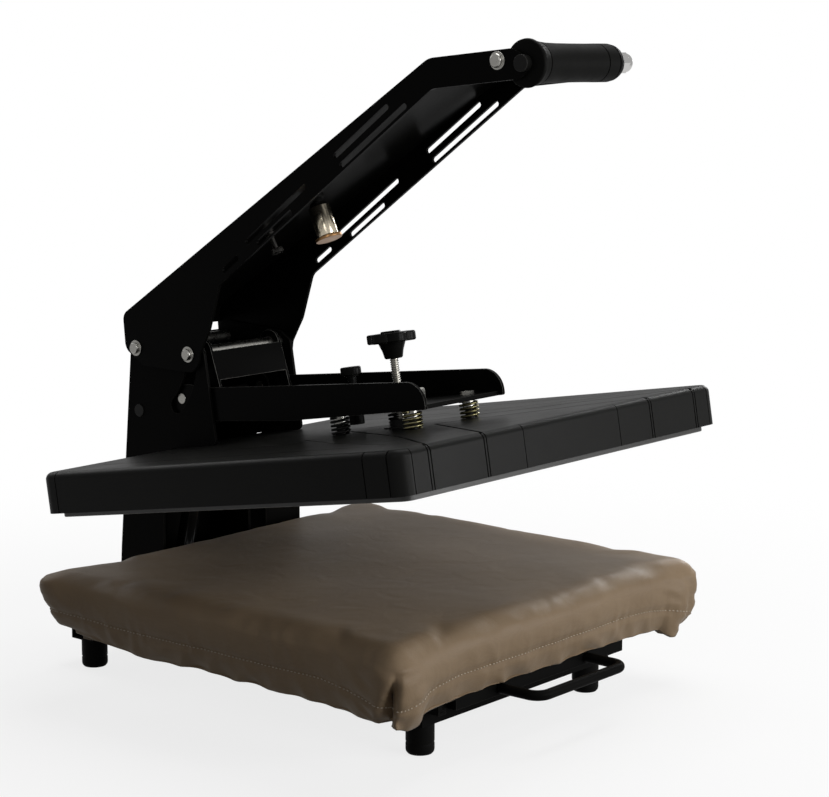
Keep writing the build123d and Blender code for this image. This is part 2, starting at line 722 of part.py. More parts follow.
# magnet on a rubber mount under the web
web_normal = (-math.sin(web_underside), -math.cos(web_underside))
line_z = web_start[1] + (web_start[0] - magnet_pivot[0]) * math.tan(web_underside)
mount_reach = (line_z - magnet_pivot[1]) * math.cos(web_underside) - sheet
knuckle_radius = 5.0
knuckle_length = 14.0
mount = Cylinder(9, mount_reach - 7)
mount = fillet(mount.edges().group_by(Axis.Z)[0], 2.5)
mount = Pos(0, 0, (mount_reach + 7) / 2) * mount + rod_z(0, 0, 3, 0, 8)
mount += Rot(0, 90, 0) * Cylinder(knuckle_radius, knuckle_length)
lean = math.degrees(web_underside)
save("magnet_mount", Pos(0, *magnet_pivot) * Rot(-lean, 0, 0) * mount)
magnet_lean = 24.0
magnet_length = 28.0
magnet_radius = 10.0
magnet = rod_z(0, 0, magnet_radius, -magnet_length, 1)
magnet -= Rot(0, 90, 0) * Cylinder(knuckle_radius + running_gap, 3 * magnet_radius)
magnet = fillet(magnet.edges().group_by(Axis.Z)[0], 0.8)
disc = rod_z(0, 0, 12.5, -magnet_length - 3, -magnet_length)
hang = Pos(0, *magnet_pivot) * Rot(-magnet_lean, 0, 0)
save("magnet_body", hang * magnet)
save("magnet_disc", hang * disc)

# stop screw under the web, nearer the pivot
stop_y = 108.0
stop_z = web_start[1] + (web_start[0] - stop_y) * math.tan(web_underside) - sheet / math.cos(web_underside)
stop = rod_z(0, 0, 2.5, -20, 0) + Pos(0, 0, -20) * extrude(RegularPolygon(6.0, 6), 3.5)
stop += rod_z(0, 0, 5, -3, -0.05)
save("stop_screw", Pos(0, stop_y, stop_z - 0.3) * Rot(-lean, 0, 0) * stop)
save("arm_web", web)

# axles, their end screws and the tie screws by the grip
axle_end = arm_width / 2
save("arm_axles", *[rod_x(point, axle_radius, -axle_end, axle_end) for point in (arm_pivot, link_pivot)])


def end_screw(point, side, washer_radius, head_radius, shank=None):
    """A button-head screw on a washer, outside an arm plate."""
    washer = rod_x(point, washer_radius, side * axle_end, side * (axle_end + 1.2))
    head = rod_x(point, head_radius, side * (axle_end + 1.2), side * (axle_end + 4.7))
    rim = head.edges().group_by(Axis.X)[-1 if side > 0 else 0]
    screw = washer + fillet(rim, 2.2)
    if shank:
        screw += rod_x(point, shank, side * (axle_end - 8), side * axle_end)
    return screw


end_screws = []
for side in (-1, 1):
    for point in (arm_pivot, link_pivot):
        end_screws.append(end_screw(point, side, 7.5, 5.5))
    end_screws.append(end_screw(tie_point, side, 7.5, 5.8, tie_radius))
save("axle_screws", *end_screws)

# grip: a rod through both plates, a ribbed sleeve with flanges and an end nut
save("grip_rod", rod_x(grip_axis, grip_rod_radius, -axle_end - 3, axle_end + 12))
flange = arm_inner - 0.5
sleeve = rod_x(grip_axis, 16, -47, 47)
sleeve += rod_x(grip_axis, 20, -flange, -50) + rod_x(grip_axis, 14, -50, -47)
sleeve += rod_x(grip_axis, 18, 51, flange) + rod_x(grip_axis, 14, 47, 51)
sleeve -= rod_x(grip_axis, grip_rod_radius + running_gap, -flange - 1, flange + 1)
save("grip_sleeve", sleeve)
nut_outline = Plane.YZ.offset(axle_end + 0.2) * Pos(*grip_axis) * RegularPolygon(10, 6)
grip_nut = extrude(nut_outline, 9, dir=(1, 0, 0)) + rod_x(grip_axis, 8, axle_end + 9, axle_end + 15)
grip_nut -= rod_x(grip_axis, grip_rod_radius + running_gap, axle_end - 1, axle_end + 12.3)
save("grip_nut", grip_nut)

# control box beside the column, with its panel on the right
box_x0 = column_width / 2 + flange_width + 1
box_x1 = cross_tube_half - 1
box_y0 = 199.0
box_y1 = base_rear - 4
box_top = 186.0
box_wall = 2.0
panel_thickness = 2.5
box = block(box_x0, box_x1, box_y0, box_y1, pan_top, box_top)
box -= block(box_x0 + box_wall, box_x1 + 1, box_y0 + box_wall, box_y1 - box_wall,
             pan_top + box_wall, box_top - box_wall)
inlet_z = pan_top + 28
inlet_x = (box_x0 + box_x1) / 2
inlet_half = 12.0
inlet_half_height = 10.0
box -= block(inlet_x - inlet_half, inlet_x + inlet_half, box_y1 - box_wall - 1, box_y1 + 1,
             inlet_z - inlet_half_height, inlet_z + inlet_half_height)
save("control_box", box)
panel_y = (box_y0 + box_y1) / 2
button_radius = 5.0
button_rows = (104.0, 120.0, 136.0)
button_travel = 1.5
display_z = 162.0
switch_z = 74.0
panel = block(box_x1, box_x1 + panel_thickness, box_y0, box_y1, pan_top, box_top)
for z in button_rows:
    panel -= rod_x((panel_y, z), button_radius + 0.3, box_x1 - 1, box_x1 + 5)
display_half = (17.0, 9.0)
panel -= block(box_x1 - 1, box_x1 + 5, panel_y - display_half[0], panel_y + display_half[0],
               display_z - display_half[1], display_z + display_half[1])
switch_half = (6.5, 10.5)
panel -= block(box_x1 - 1, box_x1 + 5, panel_y - switch_half[0], panel_y + switch_half[0],
               switch_z - switch_half[1], switch_z + switch_half[1])
save("control_panel", panel)
window_gap = 0.1
window_half = [reach - window_gap for reach in display_half]
save("display_window", block(box_x1 + 0.4, box_x1 + panel_thickness - 0.3,
                             panel_y - window_half[0], panel_y + window_half[0],
                             display_z - window_half[1], display_z + window_half[1]))
names = ("button_minus", "button_set", "button_plus")
for name, z in zip(names, button_rows):
    button = rod_x((panel_y, z), button_radius, box_x1 - 1, box_x1 + panel_thickness + 2.5)
    save(name, fillet(button.edges().group_by(Axis.X)[-1], 0.8))
key_half = switch_half[0] - 0.4
key_reach = switch_half[1] - 1.3
dish_radius = 19.0
rocker_key = block(box_x1 - 4, box_x1 + panel_thickness + 1.5, panel_y - key_half, panel_y + key_half,
                   switch_z - key_reach, switch_z + key_reach)
rocker_key += Pos(box_x1 - 1, panel_y, switch_z) * Rot(90, 0, 0) * Cylinder(5, 2 * key_half)
dish = Rot(90, 0, 0) * Cylinder(dish_radius, 4 * key_half)
rocker_key -= Pos(box_x1 + panel_thickness + dish_radius, panel_y, switch_z) * dish
save("power_switch", rocker_key)
screw_places = [(y, z) for y in (box_y0 + 5, box_y1 - 5) for z in (pan_top + 6, box_top - 6)]
panel_face = box_x1 + panel_thickness
save("panel_screws", *[rod_x(place, 3.2, panel_face, panel_face + 1.8) for place in screw_places])
board_x = box_x1 - 8
save("controller_board", block(board_x - 1.6, board_x, box_y0 + 6, box_y1 - 6, 96, box_top - 8)
     + block(board_x, box_x1, box_y0 + 8, box_y0 + 14, 98, 104)
     + block(board_x - 16, board_x - 1.6, box_y0 + 12, box_y0 + 30, 108, 130))
inlet = block(inlet_x - inlet_half + 0.3, inlet_x + inlet_half - 0.3, box_y1 - 22, box_y1 + 3.5,
              inlet_z - inlet_half_height + 0.3, inlet_z + inlet_half_height - 0.3)
inlet -= block(inlet_x - 9.5, inlet_x + 9.5, box_y1 - 14, box_y1 + 5, inlet_z - 7.2, inlet_z + 7.2)
for x in (-5.5, 0, 5.5):
    inlet += block(inlet_x + x - 1, inlet_x + x + 1, box_y1 - 14.5, box_y1 - 2, inlet_z - 2, inlet_z + 2)
save("inlet_socket", inlet)
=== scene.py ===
# %% [markdown]
# # A slide-out heat press
# The machine is sheet steel, a moulded platen cover and one quilted cloth pad. Its CAD
# parts already stand where they belong, so these cells keep that frame as it is and give
# each visible part what a CAD solid leaves out: softened edges, wear, grain, thread,
# moulded grooves and real cloth.

# %% Load the fixed frame
import json
import math

import bmesh
import bpy
from mathutils import Matrix, Vector, noise
from mathutils.bvhtree import BVHTree


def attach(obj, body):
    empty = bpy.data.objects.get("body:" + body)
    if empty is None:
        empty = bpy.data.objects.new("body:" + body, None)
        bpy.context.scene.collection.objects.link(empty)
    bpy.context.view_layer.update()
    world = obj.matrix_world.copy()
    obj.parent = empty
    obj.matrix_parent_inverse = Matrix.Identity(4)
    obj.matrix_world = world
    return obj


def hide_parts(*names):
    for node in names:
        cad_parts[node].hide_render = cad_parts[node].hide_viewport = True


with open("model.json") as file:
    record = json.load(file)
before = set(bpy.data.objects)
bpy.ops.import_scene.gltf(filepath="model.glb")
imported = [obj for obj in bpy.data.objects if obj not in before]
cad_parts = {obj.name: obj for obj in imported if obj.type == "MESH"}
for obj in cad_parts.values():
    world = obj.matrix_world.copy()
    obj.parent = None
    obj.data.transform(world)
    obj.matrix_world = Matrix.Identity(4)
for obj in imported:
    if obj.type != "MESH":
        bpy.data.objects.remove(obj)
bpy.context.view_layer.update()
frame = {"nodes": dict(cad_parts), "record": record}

MM = 0.001

# %% [markdown]
# ## Where the camera stands
# The photograph looks down on the front left corner from about two metres away, with a
# long lens, so the machine hardly narrows towards the back. The place and the direction
# were fitted to the corners of the platen and the pivots of the arm. A long lens is an
# ordinary focal length here, so nothing needs shifting.

# %% Camera
camera_data = bpy.data.cameras.new("camera")
camera_data.lens = 93.4
camera_data.sensor_width = 36.0
camera_data.clip_end = 60.0
camera = bpy.data.objects.new("camera", camera_data)
bpy.context.scene.collection.objects.link(camera)
camera.location = (-1.4456, -1.2908, 0.5751)
look = Vector((0.7544, 0.6375, -0.1564))
camera.rotation_euler = look.to_track_quat("-Z", "Y").to_euler()
bpy.context.scene.camera = camera
bpy.context.scene.view_settings.view_transform = "Standard"
print("lens", camera_data.lens, "mm")

# %% [markdown]
# ## A pale studio
# Black parts show mostly what they reflect, and in the photograph they reflect a dark room
# with one large soft light in front. So the world and the floor are white for rays that
# come from the camera or pass through glass, and a pale grey for mirrored rays, so that
# chrome and zinc still show the studio. For all other rays they are dim, and the soft
# boxes alone light the machine. The floor keeps the machine's shadow.


# %% Small node helpers
def node(tree, kind, **settings):
    """Adds a shader node, with its settings or the values of its sockets."""
    made = tree.nodes.new(kind)
    for name, value in settings.items():
        if hasattr(made, name):
            setattr(made, name, value)
        else:
            made.inputs[name.replace("_", " ")].default_value = value
    return made


def join(tree, source, output, target, socket):
    """Links one node's output to another's input."""
    tree.links.new(source.outputs[output], target.inputs[socket])


def spread(tree, source, output, low, high, start=0.0, end=1.0, **settings):
    """Stretches a value that runs from start to end, so that it runs from low to high."""
    made = node(tree, "ShaderNodeMapRange", **settings)
    for socket, value in (("From Min", start), ("From Max", end), ("To Min", low), ("To Max", high)):
        made.inputs[socket].default_value = value
    join(tree, source, output, made, "Value")
    return made


# The share of the white background that a mirrored ray sees.
MIRRORED_SHARE = 0.4


def background_share(tree):
    """How much of the white background a ray sees: all, a part in mirrors, or none."""
    path = node(tree, "ShaderNodeLightPath")
    direct = node(tree, "ShaderNodeMath", operation="MAXIMUM")
    join(tree, path, "Is Camera Ray", direct, 0)
    join(tree, path, "Is Transmission Ray", direct, 1)
    mirrored = node(tree, "ShaderNodeMath", operation="MULTIPLY")
    mirrored.inputs[1].default_value = MIRRORED_SHARE
    join(tree, path, "Is Glossy Ray", mirrored, 0)
    share = node(tree, "ShaderNodeMath", operation="MAXIMUM")
    join(tree, direct, 0, share, 0)
    join(tree, mirrored, 0, share, 1)
    return share


print("mirrors see", MIRRORED_SHARE, "of the white background")

# %% World
fill_light = 0.08
world = bpy.data.worlds.new("studio")
bpy.context.scene.world = world
world.use_nodes = True
tree = world.node_tree
tree.nodes.clear()
strength = spread(tree, background_share(tree), 0, fill_light, 1.0)
sky = node(tree, "ShaderNodeBackground", Color=(1, 1, 1, 1))
join(tree, strength, "Result", sky, "Strength")
out = node(tree, "ShaderNodeOutputWorld")
join(tree, sky, "Background", out, "Surface")
print("world ready, fill light", fill_light)

# %% Floor disc
floor_radius = 14.0
floor_mesh = bmesh.new()
bmesh.ops.create_circle(floor_mesh, cap_ends=True, segments=96, radius=floor_radius)
floor_data = bpy.data.meshes.new("floor")
floor_mesh.to_mesh(floor_data)
floor_mesh.free()
floor = bpy.data.objects.new("floor", floor_data)
bpy.context.scene.collection.objects.link(floor)
print("floor disc", floor_radius, "m in radius")

# %% Floor finish
shadow_reach, white_reach = 0.30, 1.1
least_glow = 0.80
dim_floor = (0.16, 0.16, 0.16, 1)
seen_floor = (0.86, 0.86, 0.86, 1)
floor_finish = bpy.data.materials.new("floor_white")
floor_finish.use_nodes = True
tree = floor_finish.node_tree
shader = tree.nodes["Principled BSDF"]
shader.inputs["Roughness"].default_value = 0.9
shader.inputs["Specular IOR Level"].default_value = 0.1
place = node(tree, "ShaderNodeTexCoord")
reach = node(tree, "ShaderNodeVectorMath", operation="LENGTH")
join(tree, place, "Object", reach, 0)
glow = spread(tree, reach, "Value", least_glow, 1.0, start=shadow_reach, end=white_reach,
              interpolation_type="SMOOTHSTEP")
seen = background_share(tree)
share = node(tree, "ShaderNodeMath", operation="MULTIPLY")
join(tree, seen, 0, share, 0)
join(tree, glow, "Result", share, 1)
shown = node(tree, "ShaderNodeMix", data_type="RGBA")
shown.inputs["A"].default_value = dim_floor
shown.inputs["B"].default_value = seen_floor
join(tree, seen, 0, shown, "Factor")
join(tree, shown, "Result", shader, "Base Color")
white = node(tree, "ShaderNodeEmission", Color=(1, 1, 1, 1), Strength=1.0)
blend = node(tree, "ShaderNodeMixShader")
join(tree, share, 0, blend, 0)
join(tree, shader, "BSDF", blend, 1)
join(tree, white, "Emission", blend, 2)
join(tree, blend, 0, tree.nodes["Material Output"], "Surface")
floor_data.materials.append(floor_finish)
print("floor white from", white_reach, "m outwards")

# %% Lamps
def soft_lamp(name, place, width, height, power):
    """A rectangular soft box that points at the middle of the machine."""
    data = bpy.data.lights.new(name, "AREA")
    data.shape = "RECTANGLE"
    data.size = width
    data.size_y = height
    data.energy = power
    lamp = bpy.data.objects.new(name, data)
    bpy.context.scene.collection.objects.link(lamp)
    lamp.location = place
    lamp.rotation_euler = (lamp_aim - Vector(place)).to_track_quat("-Z", "Y").to_euler()


lamp_aim = Vector((0, 0, 0.25))
soft_lamp("lamp_over", (0.6, 0.0, 2.0), 1.3, 1.3, 24)
soft_lamp("lamp_front", (0.1, -2.3, 0.9), 0.8, 1.0, 19)
soft_lamp("lamp_side", (0.95, -1.6, 0.45), 0.4, 0.5, 9)
soft_lamp("lamp_right", (2.2, 0.3, 0.9), 0.6, 0.8, 12)
soft_lamp("lamp_left", (-2.0, -1.2, 1.5), 0.6, 0.9, 4.0)
soft_lamp("lamp_back", (0.2, 2.2, 1.4), 1.2, 0.7, 5)
print(len(bpy.data.lights), "soft boxes")

# %% [markdown]
# ## Finishes
# Every finish starts from the same idea: one slow noise that shifts the colour a little,
# as handling and dust do, one that breaks up the gloss, and one fine grain that only
# lifts the surface. The numbers change from enamel to powder coat, moulded plastic,
# rubber or plated steel. Bevelled edges carry a number that lets a lighter colour in:
# rubbed-thin paint on most finishes, a painted highlight on the beams and the yoke.


# %% One maker for hard finishes
def noise_on(tree, place, scale, **settings):
    """A noise on the piece's own coordinates."""
    made = node(tree, "ShaderNodeTexNoise", Scale=scale, **settings)
    join(tree, place, "Object", made, "Vector")
    return made


def uneven_colour(tree, place, dark, light, cloud):
    """A colour that drifts slowly between two tones."""
    slow = noise_on(tree, place, cloud, Detail=5.0, Roughness=0.6)
    tint = node(tree, "ShaderNodeMix", data_type="RGBA")
    tint.inputs["A"].default_value = (*dark, 1)
    tint.inputs["B"].default_value = (*light, 1)
    join(tree, slow, "Fac", tint, "Factor")
    return tint


def worn_and_lit_edges(tree, place, colour, edge_wear_and_highlight):
    """Lets a lighter colour through on the bevelled faces: worn paint on most finishes, a painted highlight
    on some.
    """
    edge = node(tree, "ShaderNodeAttribute", attribute_name="lighter_edge")
    edge_breakup = noise_on(tree, place, 120.0, Detail=3.0)
    edge_share = node(tree, "ShaderNodeMath", operation="MULTIPLY")
    join(tree, edge, "Fac", edge_share, 0)
    join(tree, edge_breakup, "Fac", edge_share, 1)
    edge_tone = node(tree, "ShaderNodeMix", data_type="RGBA")
    edge_tone.inputs["B"].default_value = (*edge_wear_and_highlight, 1)
    join(tree, edge_share, 0, edge_tone, "Factor")
    join(tree, colour, "Result", edge_tone, "A")
    return edge_tone


def hard_finish(name, dark, light, gloss, metal=0.0, grain=(900.0, 0.00002), cloud=14.0,
                edge_wear_and_highlight=None, level=0.5, coat=0.0, cells=False):
    """A painted, moulded or plated finish with uneven colour, gloss and grain."""
    made = bpy.data.materials.new(name)
    made.use_nodes = True
    tree = made.node_tree
    shader = tree.nodes["Principled BSDF"]
    shader.inputs["Metallic"].default_value = metal
    shader.inputs["Specular IOR Level"].default_value = level
    shader.inputs["Coat Weight"].default_value = coat
    shader.inputs["Coat Roughness"].default_value = 0.12
    place = node(tree, "ShaderNodeTexCoord")
    colour = uneven_colour(tree, place, dark, light, cloud)
    if edge_wear_and_highlight:
        colour = worn_and_lit_edges(tree, place, colour, edge_wear_and_highlight)
    join(tree, colour, "Result", shader, "Base Color")
    patch = noise_on(tree, place, cloud * 2.7, Detail=6.0, Roughness=0.65)
    sheen = spread(tree, patch, "Fac", *gloss, start=0.3, end=0.7)
    join(tree, sheen, "Result", shader, "Roughness")
    grain_scale, grain_height = grain
    if cells:
        fine = node(tree, "ShaderNodeTexVoronoi", Scale=grain_scale)
        join(tree, place, "Object", fine, "Vector")
    else:
        fine = noise_on(tree, place, grain_scale, Detail=2.0)
    bump = node(tree, "ShaderNodeBump", Distance=grain_height, Strength=1.0)
    join(tree, fine, "Distance" if cells else "Fac", bump, "Height")
    join(tree, bump, "Normal", shader, "Normal")
    return made


print("finish maker ready")

# %% Paints and coatings on steel
powder_black = hard_finish("powder_black", (0.0040, 0.0040, 0.0038), (0.0056, 0.0055, 0.0052),
                           (0.40, 0.47), grain=(650.0, 0.00004), edge_wear_and_highlight=(0.030, 0.029, 0.027), level=0.02,
                           cloud=5.0)
enamel_black = hard_finish("enamel_black", (0.0032, 0.0031, 0.0029), (0.0044, 0.0043, 0.0039),
                           (0.27, 0.33), grain=(260.0, 0.00002), edge_wear_and_highlight=(0.034, 0.032, 0.029), level=0.03,
                           cloud=4.0)
# On the beams the light edge colour is a painted highlight along the bevelled edges, far lighter than worn
# paint.
beam_enamel_painted_highlight = hard_finish("beam_enamel_painted_highlight", (0.0032, 0.0031, 0.0029), (0.0044, 0.0043, 0.0039),
                          (0.25, 0.31), grain=(260.0, 0.00002), edge_wear_and_highlight=(0.45, 0.44, 0.41), level=0.03,
                          cloud=4.0)
# The yoke's black is darker than the powder coat: painted shade. Its light edge colour is a painted
# highlight.
yoke_painted_shade_and_highlight = hard_finish("yoke_painted_shade_and_highlight", (0.0018, 0.0018, 0.0017), (0.0026, 0.0026, 0.0024), (0.42, 0.50),
                         grain=(650.0, 0.00003), edge_wear_and_highlight=(0.30, 0.295, 0.275), level=0.03, cloud=5.0)
oxide_black = hard_finish("oxide_black", (0.008, 0.008, 0.0076), (0.014, 0.0135, 0.0125), (0.30, 0.40),
                          grain=(500.0, 0.00003), edge_wear_and_highlight=(0.05, 0.048, 0.045), level=0.15, cloud=40.0)
gas_enamel = hard_finish("gas_enamel", (0.006, 0.006, 0.006), (0.009, 0.009, 0.009), (0.10, 0.20),
                         grain=(300.0, 0.00001), coat=0.4)
coated_plate = hard_finish("coated_plate", (0.020, 0.020, 0.019), (0.030, 0.029, 0.027), (0.34, 0.46),
                           grain=(500.0, 0.00004), edge_wear_and_highlight=(0.2, 0.2, 0.19))
print(len(bpy.data.materials), "materials with the steel's paints")

# %% Plated and bare metal
zinc_plate = hard_finish("zinc_plate", (0.36, 0.35, 0.32), (0.50, 0.49, 0.46), (0.22, 0.36), metal=1.0,
                         grain=(700.0, 0.00002), cloud=60.0)
bright_chrome = hard_finish("bright_chrome", (0.72, 0.71, 0.69), (0.82, 0.81, 0.80), (0.06, 0.16),
                            metal=1.0, grain=(300.0, 0.000004), cloud=40.0)
warm_nickel = hard_finish("warm_nickel", (0.80, 0.70, 0.52), (0.88, 0.80, 0.64), (0.16, 0.22),
                          metal=1.0, grain=(300.0, 0.000001), cloud=40.0)
pole_copper = hard_finish("pole_copper", (0.36, 0.19, 0.08), (0.48, 0.27, 0.12), (0.26, 0.38),
                          metal=1.0, grain=(500.0, 0.00001), cloud=50.0)
spring_olive = hard_finish("spring_olive", (0.20, 0.18, 0.09), (0.34, 0.31, 0.17), (0.28, 0.40),
                           metal=1.0, grain=(900.0, 0.00002), cloud=120.0)
cast_alloy = hard_finish("cast_alloy", (0.46, 0.46, 0.46), (0.60, 0.60, 0.60), (0.36, 0.52), metal=1.0,
                         grain=(420.0, 0.00012), cloud=30.0)
hot_sheath = hard_finish("hot_sheath", (0.20, 0.17, 0.14), (0.36, 0.31, 0.27), (0.32, 0.46), metal=1.0,
                         grain=(700.0, 0.00003), cloud=50.0)
print(len(bpy.data.materials), "materials with the metals")

# %% Plastic, rubber, fibre and glass
moulded_charcoal = hard_finish("moulded_charcoal", (0.0085, 0.0085, 0.0080), (0.0110, 0.0110, 0.0103),
                               (0.33, 0.40), grain=(1300.0, 0.00006), cells=True,
                               edge_wear_and_highlight=(0.070, 0.070, 0.065), cloud=7.0, level=0.07)
moulded_black = hard_finish("moulded_black", (0.0045, 0.0045, 0.0042), (0.0065, 0.0065, 0.0060),
                            (0.28, 0.35), grain=(800.0, 0.00003), edge_wear_and_highlight=(0.03, 0.03, 0.028), level=0.06)
grip_rubber = hard_finish("grip_rubber", (0.0045, 0.0045, 0.0042), (0.0068, 0.0068, 0.0064),
                          (0.44, 0.56), grain=(1100.0, 0.00005), cloud=30.0, level=0.04)
pressed_fibre = hard_finish("pressed_fibre", (0.56, 0.50, 0.40), (0.70, 0.65, 0.54), (0.80, 0.95),
                            grain=(300.0, 0.0002), cloud=40.0)
lacquer_green = hard_finish("lacquer_green", (0.02, 0.12, 0.05), (0.03, 0.18, 0.08), (0.25, 0.35),
                            grain=(900.0, 0.00003), coat=0.5)
dark_glass = hard_finish("dark_glass", (0.010, 0.012, 0.014), (0.014, 0.016, 0.020), (0.04, 0.10),
                         grain=(200.0, 0.000004), coat=1.0)
pad_silicone = hard_finish("pad_silicone", (0.42, 0.20, 0.12), (0.52, 0.28, 0.17), (0.62, 0.80),
                           grain=(700.0, 0.0001), cells=True)
print(len(bpy.data.materials), "finishes so far")

# %% Give a CAD node its finish
def paint(finish, *names):
    """Puts one finish on CAD nodes that keep their own mesh."""
    for name in names:
        data = frame["nodes"][name].data
        data.materials.clear()
        data.materials.append(finish)


print(len(frame["nodes"]), "CAD nodes need a finish")

# %% [markdown]
# ## Softened steel
# A laser-cut plate has no knife edge: the cut is tumbled or the paint rounds it, and that
# narrow round is what catches the light. The CAD mesh is loose triangles, so a copy is
# merged and its flat faces are joined before bmesh bevels the edges that are sharper than
# 35 degrees. The new narrow faces are marked for a lighter edge colour: wear on most
# finishes, a painted highlight on the beams and the yoke. The copy then stands for the node.


# %% From a bmesh to a piece of the machine
def piece(name, shape, body, finish, replaces=(), sharp=40.0, weighted=True):
    """Makes an object at the origin that rides on a body."""
    data = bpy.data.meshes.new(name)
    shape.to_mesh(data)
    shape.free()
    data.materials.append(finish)
    for face in data.polygons:
        face.use_smooth = True
    data.set_sharp_from_angle(angle=math.radians(sharp))
    made = bpy.data.objects.new(name, data)
    bpy.context.scene.collection.objects.link(made)
    if weighted:
        even = made.modifiers.new("even_shading", "WEIGHTED_NORMAL")
        even.keep_sharp = True
    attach(made, body)
    if replaces:
        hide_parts(*replaces)
    return made


def soften_edges(shape, width, angle=35.0, segments=2):
    """Bevels the sharp edges and marks the narrow new faces for a lighter edge colour, shown as wear on most
    finishes and as a painted highlight on the beams and yoke.
    """
    layer = shape.faces.layers.float.get("lighter_edge") or shape.faces.layers.float.new("lighter_edge")
    edges = [e for e in shape.edges if e.is_manifold and e.calc_face_angle() > math.radians(angle)]
    if not edges:
        return 0
    made = bmesh.ops.bevel(shape, geom=edges, offset=width, offset_type="OFFSET", segments=segments,
                           profile=0.5, affect="EDGES", clamp_overlap=True, material=-1)
    for face in made["faces"]:
        face[layer] = 1.0
    return len(made["faces"])


def dress(name, width, finish):
    """Stands a merged, softened copy in for a CAD node of the right shape."""
    source = frame["nodes"][name]
    shape = bmesh.new()
    shape.from_mesh(source.data)
    bmesh.ops.remove_doubles(shape, verts=shape.verts, dist=0.000002)
    bmesh.ops.dissolve_limit(shape, angle_limit=math.radians(0.6), verts=shape.verts, edges=shape.edges,
                             use_dissolve_boundaries=False)
    made = soften_edges(shape, width)
    piece("look_" + name, shape, body_of[name], finish, replaces=[name])
    return made


body_of = {}
for body_name, members in frame["record"]["behaviour"]["bodies"].items():
    for member in members:
        body_of[member] = body_name

# %% Plates and folded sheet
plate_round = 0.5 * MM
total = 0
for name in ("base_frame", "column_left", "column_right", "column_rear_cover", "control_box", "rail_outer",
             "rail_middle", "rail_inner", "slide_tray", "tray_handle"):
    total += dress(name, plate_round, powder_black)
for name in ("arm_left", "arm_right", "arm_web", "beam_cross_plate", "rocker_plates"):
    total += dress(name, plate_round, enamel_black)
# The beams' light edges are a painted highlight.
for name in ("beam_left", "beam_right"):
    total += dress(name, plate_round, beam_enamel_painted_highlight)
# The yoke gets painted shade on its faces and a painted highlight on its edges.
total += dress("link_yoke", plate_round, yoke_painted_shade_and_highlight)
print("worn edge faces on sheet steel:", total)

# %% Bolts, pins and plated parts
bolt_round = 0.35 * MM
for name in ("column_bolts", "panel_screws", "arm_axles", "axle_screws", "stop_screw", "rocker_pins",
             "yoke_pin", "beam_inserts", "platen_posts"):
    dress(name, bolt_round, zinc_plate)
for name in ("guide_bolts", "thrust_boss"):
    dress(name, bolt_round, oxide_black)
# Pins that lie behind this place are blackened.
black_from_y = 0.18
pins = bpy.data.objects["look_rocker_pins"].data
pins.materials.append(oxide_black)
for face in pins.polygons:
    if face.center.y > black_from_y:
        face.material_index = 1
dress("grip_rod", plate_round, oxide_black)
for name in ("grip_nut", "gas_rod"):
    dress(name, plate_round, bright_chrome)
dress("magnet_disc", plate_round, pole_copper)
print("bolts, pins and plated parts dressed")

# %% Moulded, cast and wound parts
moulded_round, casting_round = 0.6 * MM, 0.8 * MM
button_round, knuckle_round = 0.3 * MM, 0.4 * MM
dress("gas_cylinder", moulded_round, gas_enamel)
dress("striker", moulded_round, moulded_black)
for name in ("control_panel", "inlet_socket", "power_switch"):
    dress(name, plate_round, moulded_black)
for name in ("button_minus", "button_set", "button_plus"):
    dress(name, button_round, moulded_black)
dress("heat_platen", casting_round, coated_plate)
dress("lower_platen", casting_round, cast_alloy)
dress("magnet_mount", knuckle_round, grip_rubber)
paint(spring_olive, "front_springs")
paint(oxide_black, "rear_springs")
paint(grip_rubber, "spring_pads")
paint(hot_sheath, "heating_element", "temperature_sensor")
paint(pressed_fibre, "insulation_board")
paint(lacquer_green, "controller_board")
paint(dark_glass, "display_window")
print("moulded, cast and wound parts dressed")

# %% [markdown]
# ## The drawn-level frame
# The beam, platen, screw and knob all lean 9.6 degrees in the open pose. Their pieces are
# drawn level around the beam's pivot and then leaned together, so the numbers stay the
# round ones of a drawing.

# %% Lean helper
lean_degrees = 9.6
beam_pivot = Vector((0, 171.3, 257.5)) * MM
lean = Matrix.Translation(beam_pivot) @ Matrix.Rotation(math.radians(-lean_degrees), 4, "X")


def leaned(shape):
    """Leans a level bmesh into the open pose."""
    bmesh.ops.transform(shape, matrix=lean, verts=shape.verts)
    return shape


print("leans", lean_degrees, "degrees")

# %% [markdown]
# ## Shapes that come back
# Three pieces start as a box with rounded corners, and four are turned on a lathe. A box is
# a scaled cube whose upright edges are bevelled. A turned piece is one profile, drawn as
# pairs of radius and height, that is spun once round. Its doubled points are merged first
# and its faces are turned outwards after that, because a spin can leave them inside out.

# %% Rounded box
def rounded_box(size, centre, corner, segments):
    """A box in millimetres whose upright edges are rounded."""
    shape = bmesh.new()
    bmesh.ops.create_cube(shape, size=1.0)
    bmesh.ops.scale(shape, vec=Vector(size) * MM, verts=shape.verts)
    bmesh.ops.translate(shape, vec=Vector(centre) * MM, verts=shape.verts)
    upright = [e for e in shape.edges if abs(e.verts[0].co.z - e.verts[1].co.z) > 1 * MM]
    bmesh.ops.bevel(shape, geom=upright, offset=corner * MM, segments=segments, profile=0.5,
                    affect="EDGES", material=-1)
    return shape


def round_rim(shape, radius, segments):
    """Rounds the edges of a box's top face."""
    top = max(v.co.z for v in shape.verts) - 0.1 * MM
    rim = [e for e in shape.edges if all(v.co.z > top for v in e.verts)]
    bmesh.ops.bevel(shape, geom=rim, offset=radius * MM, segments=segments, profile=0.5,
                    affect="EDGES", material=-1)


print("box helpers ready")


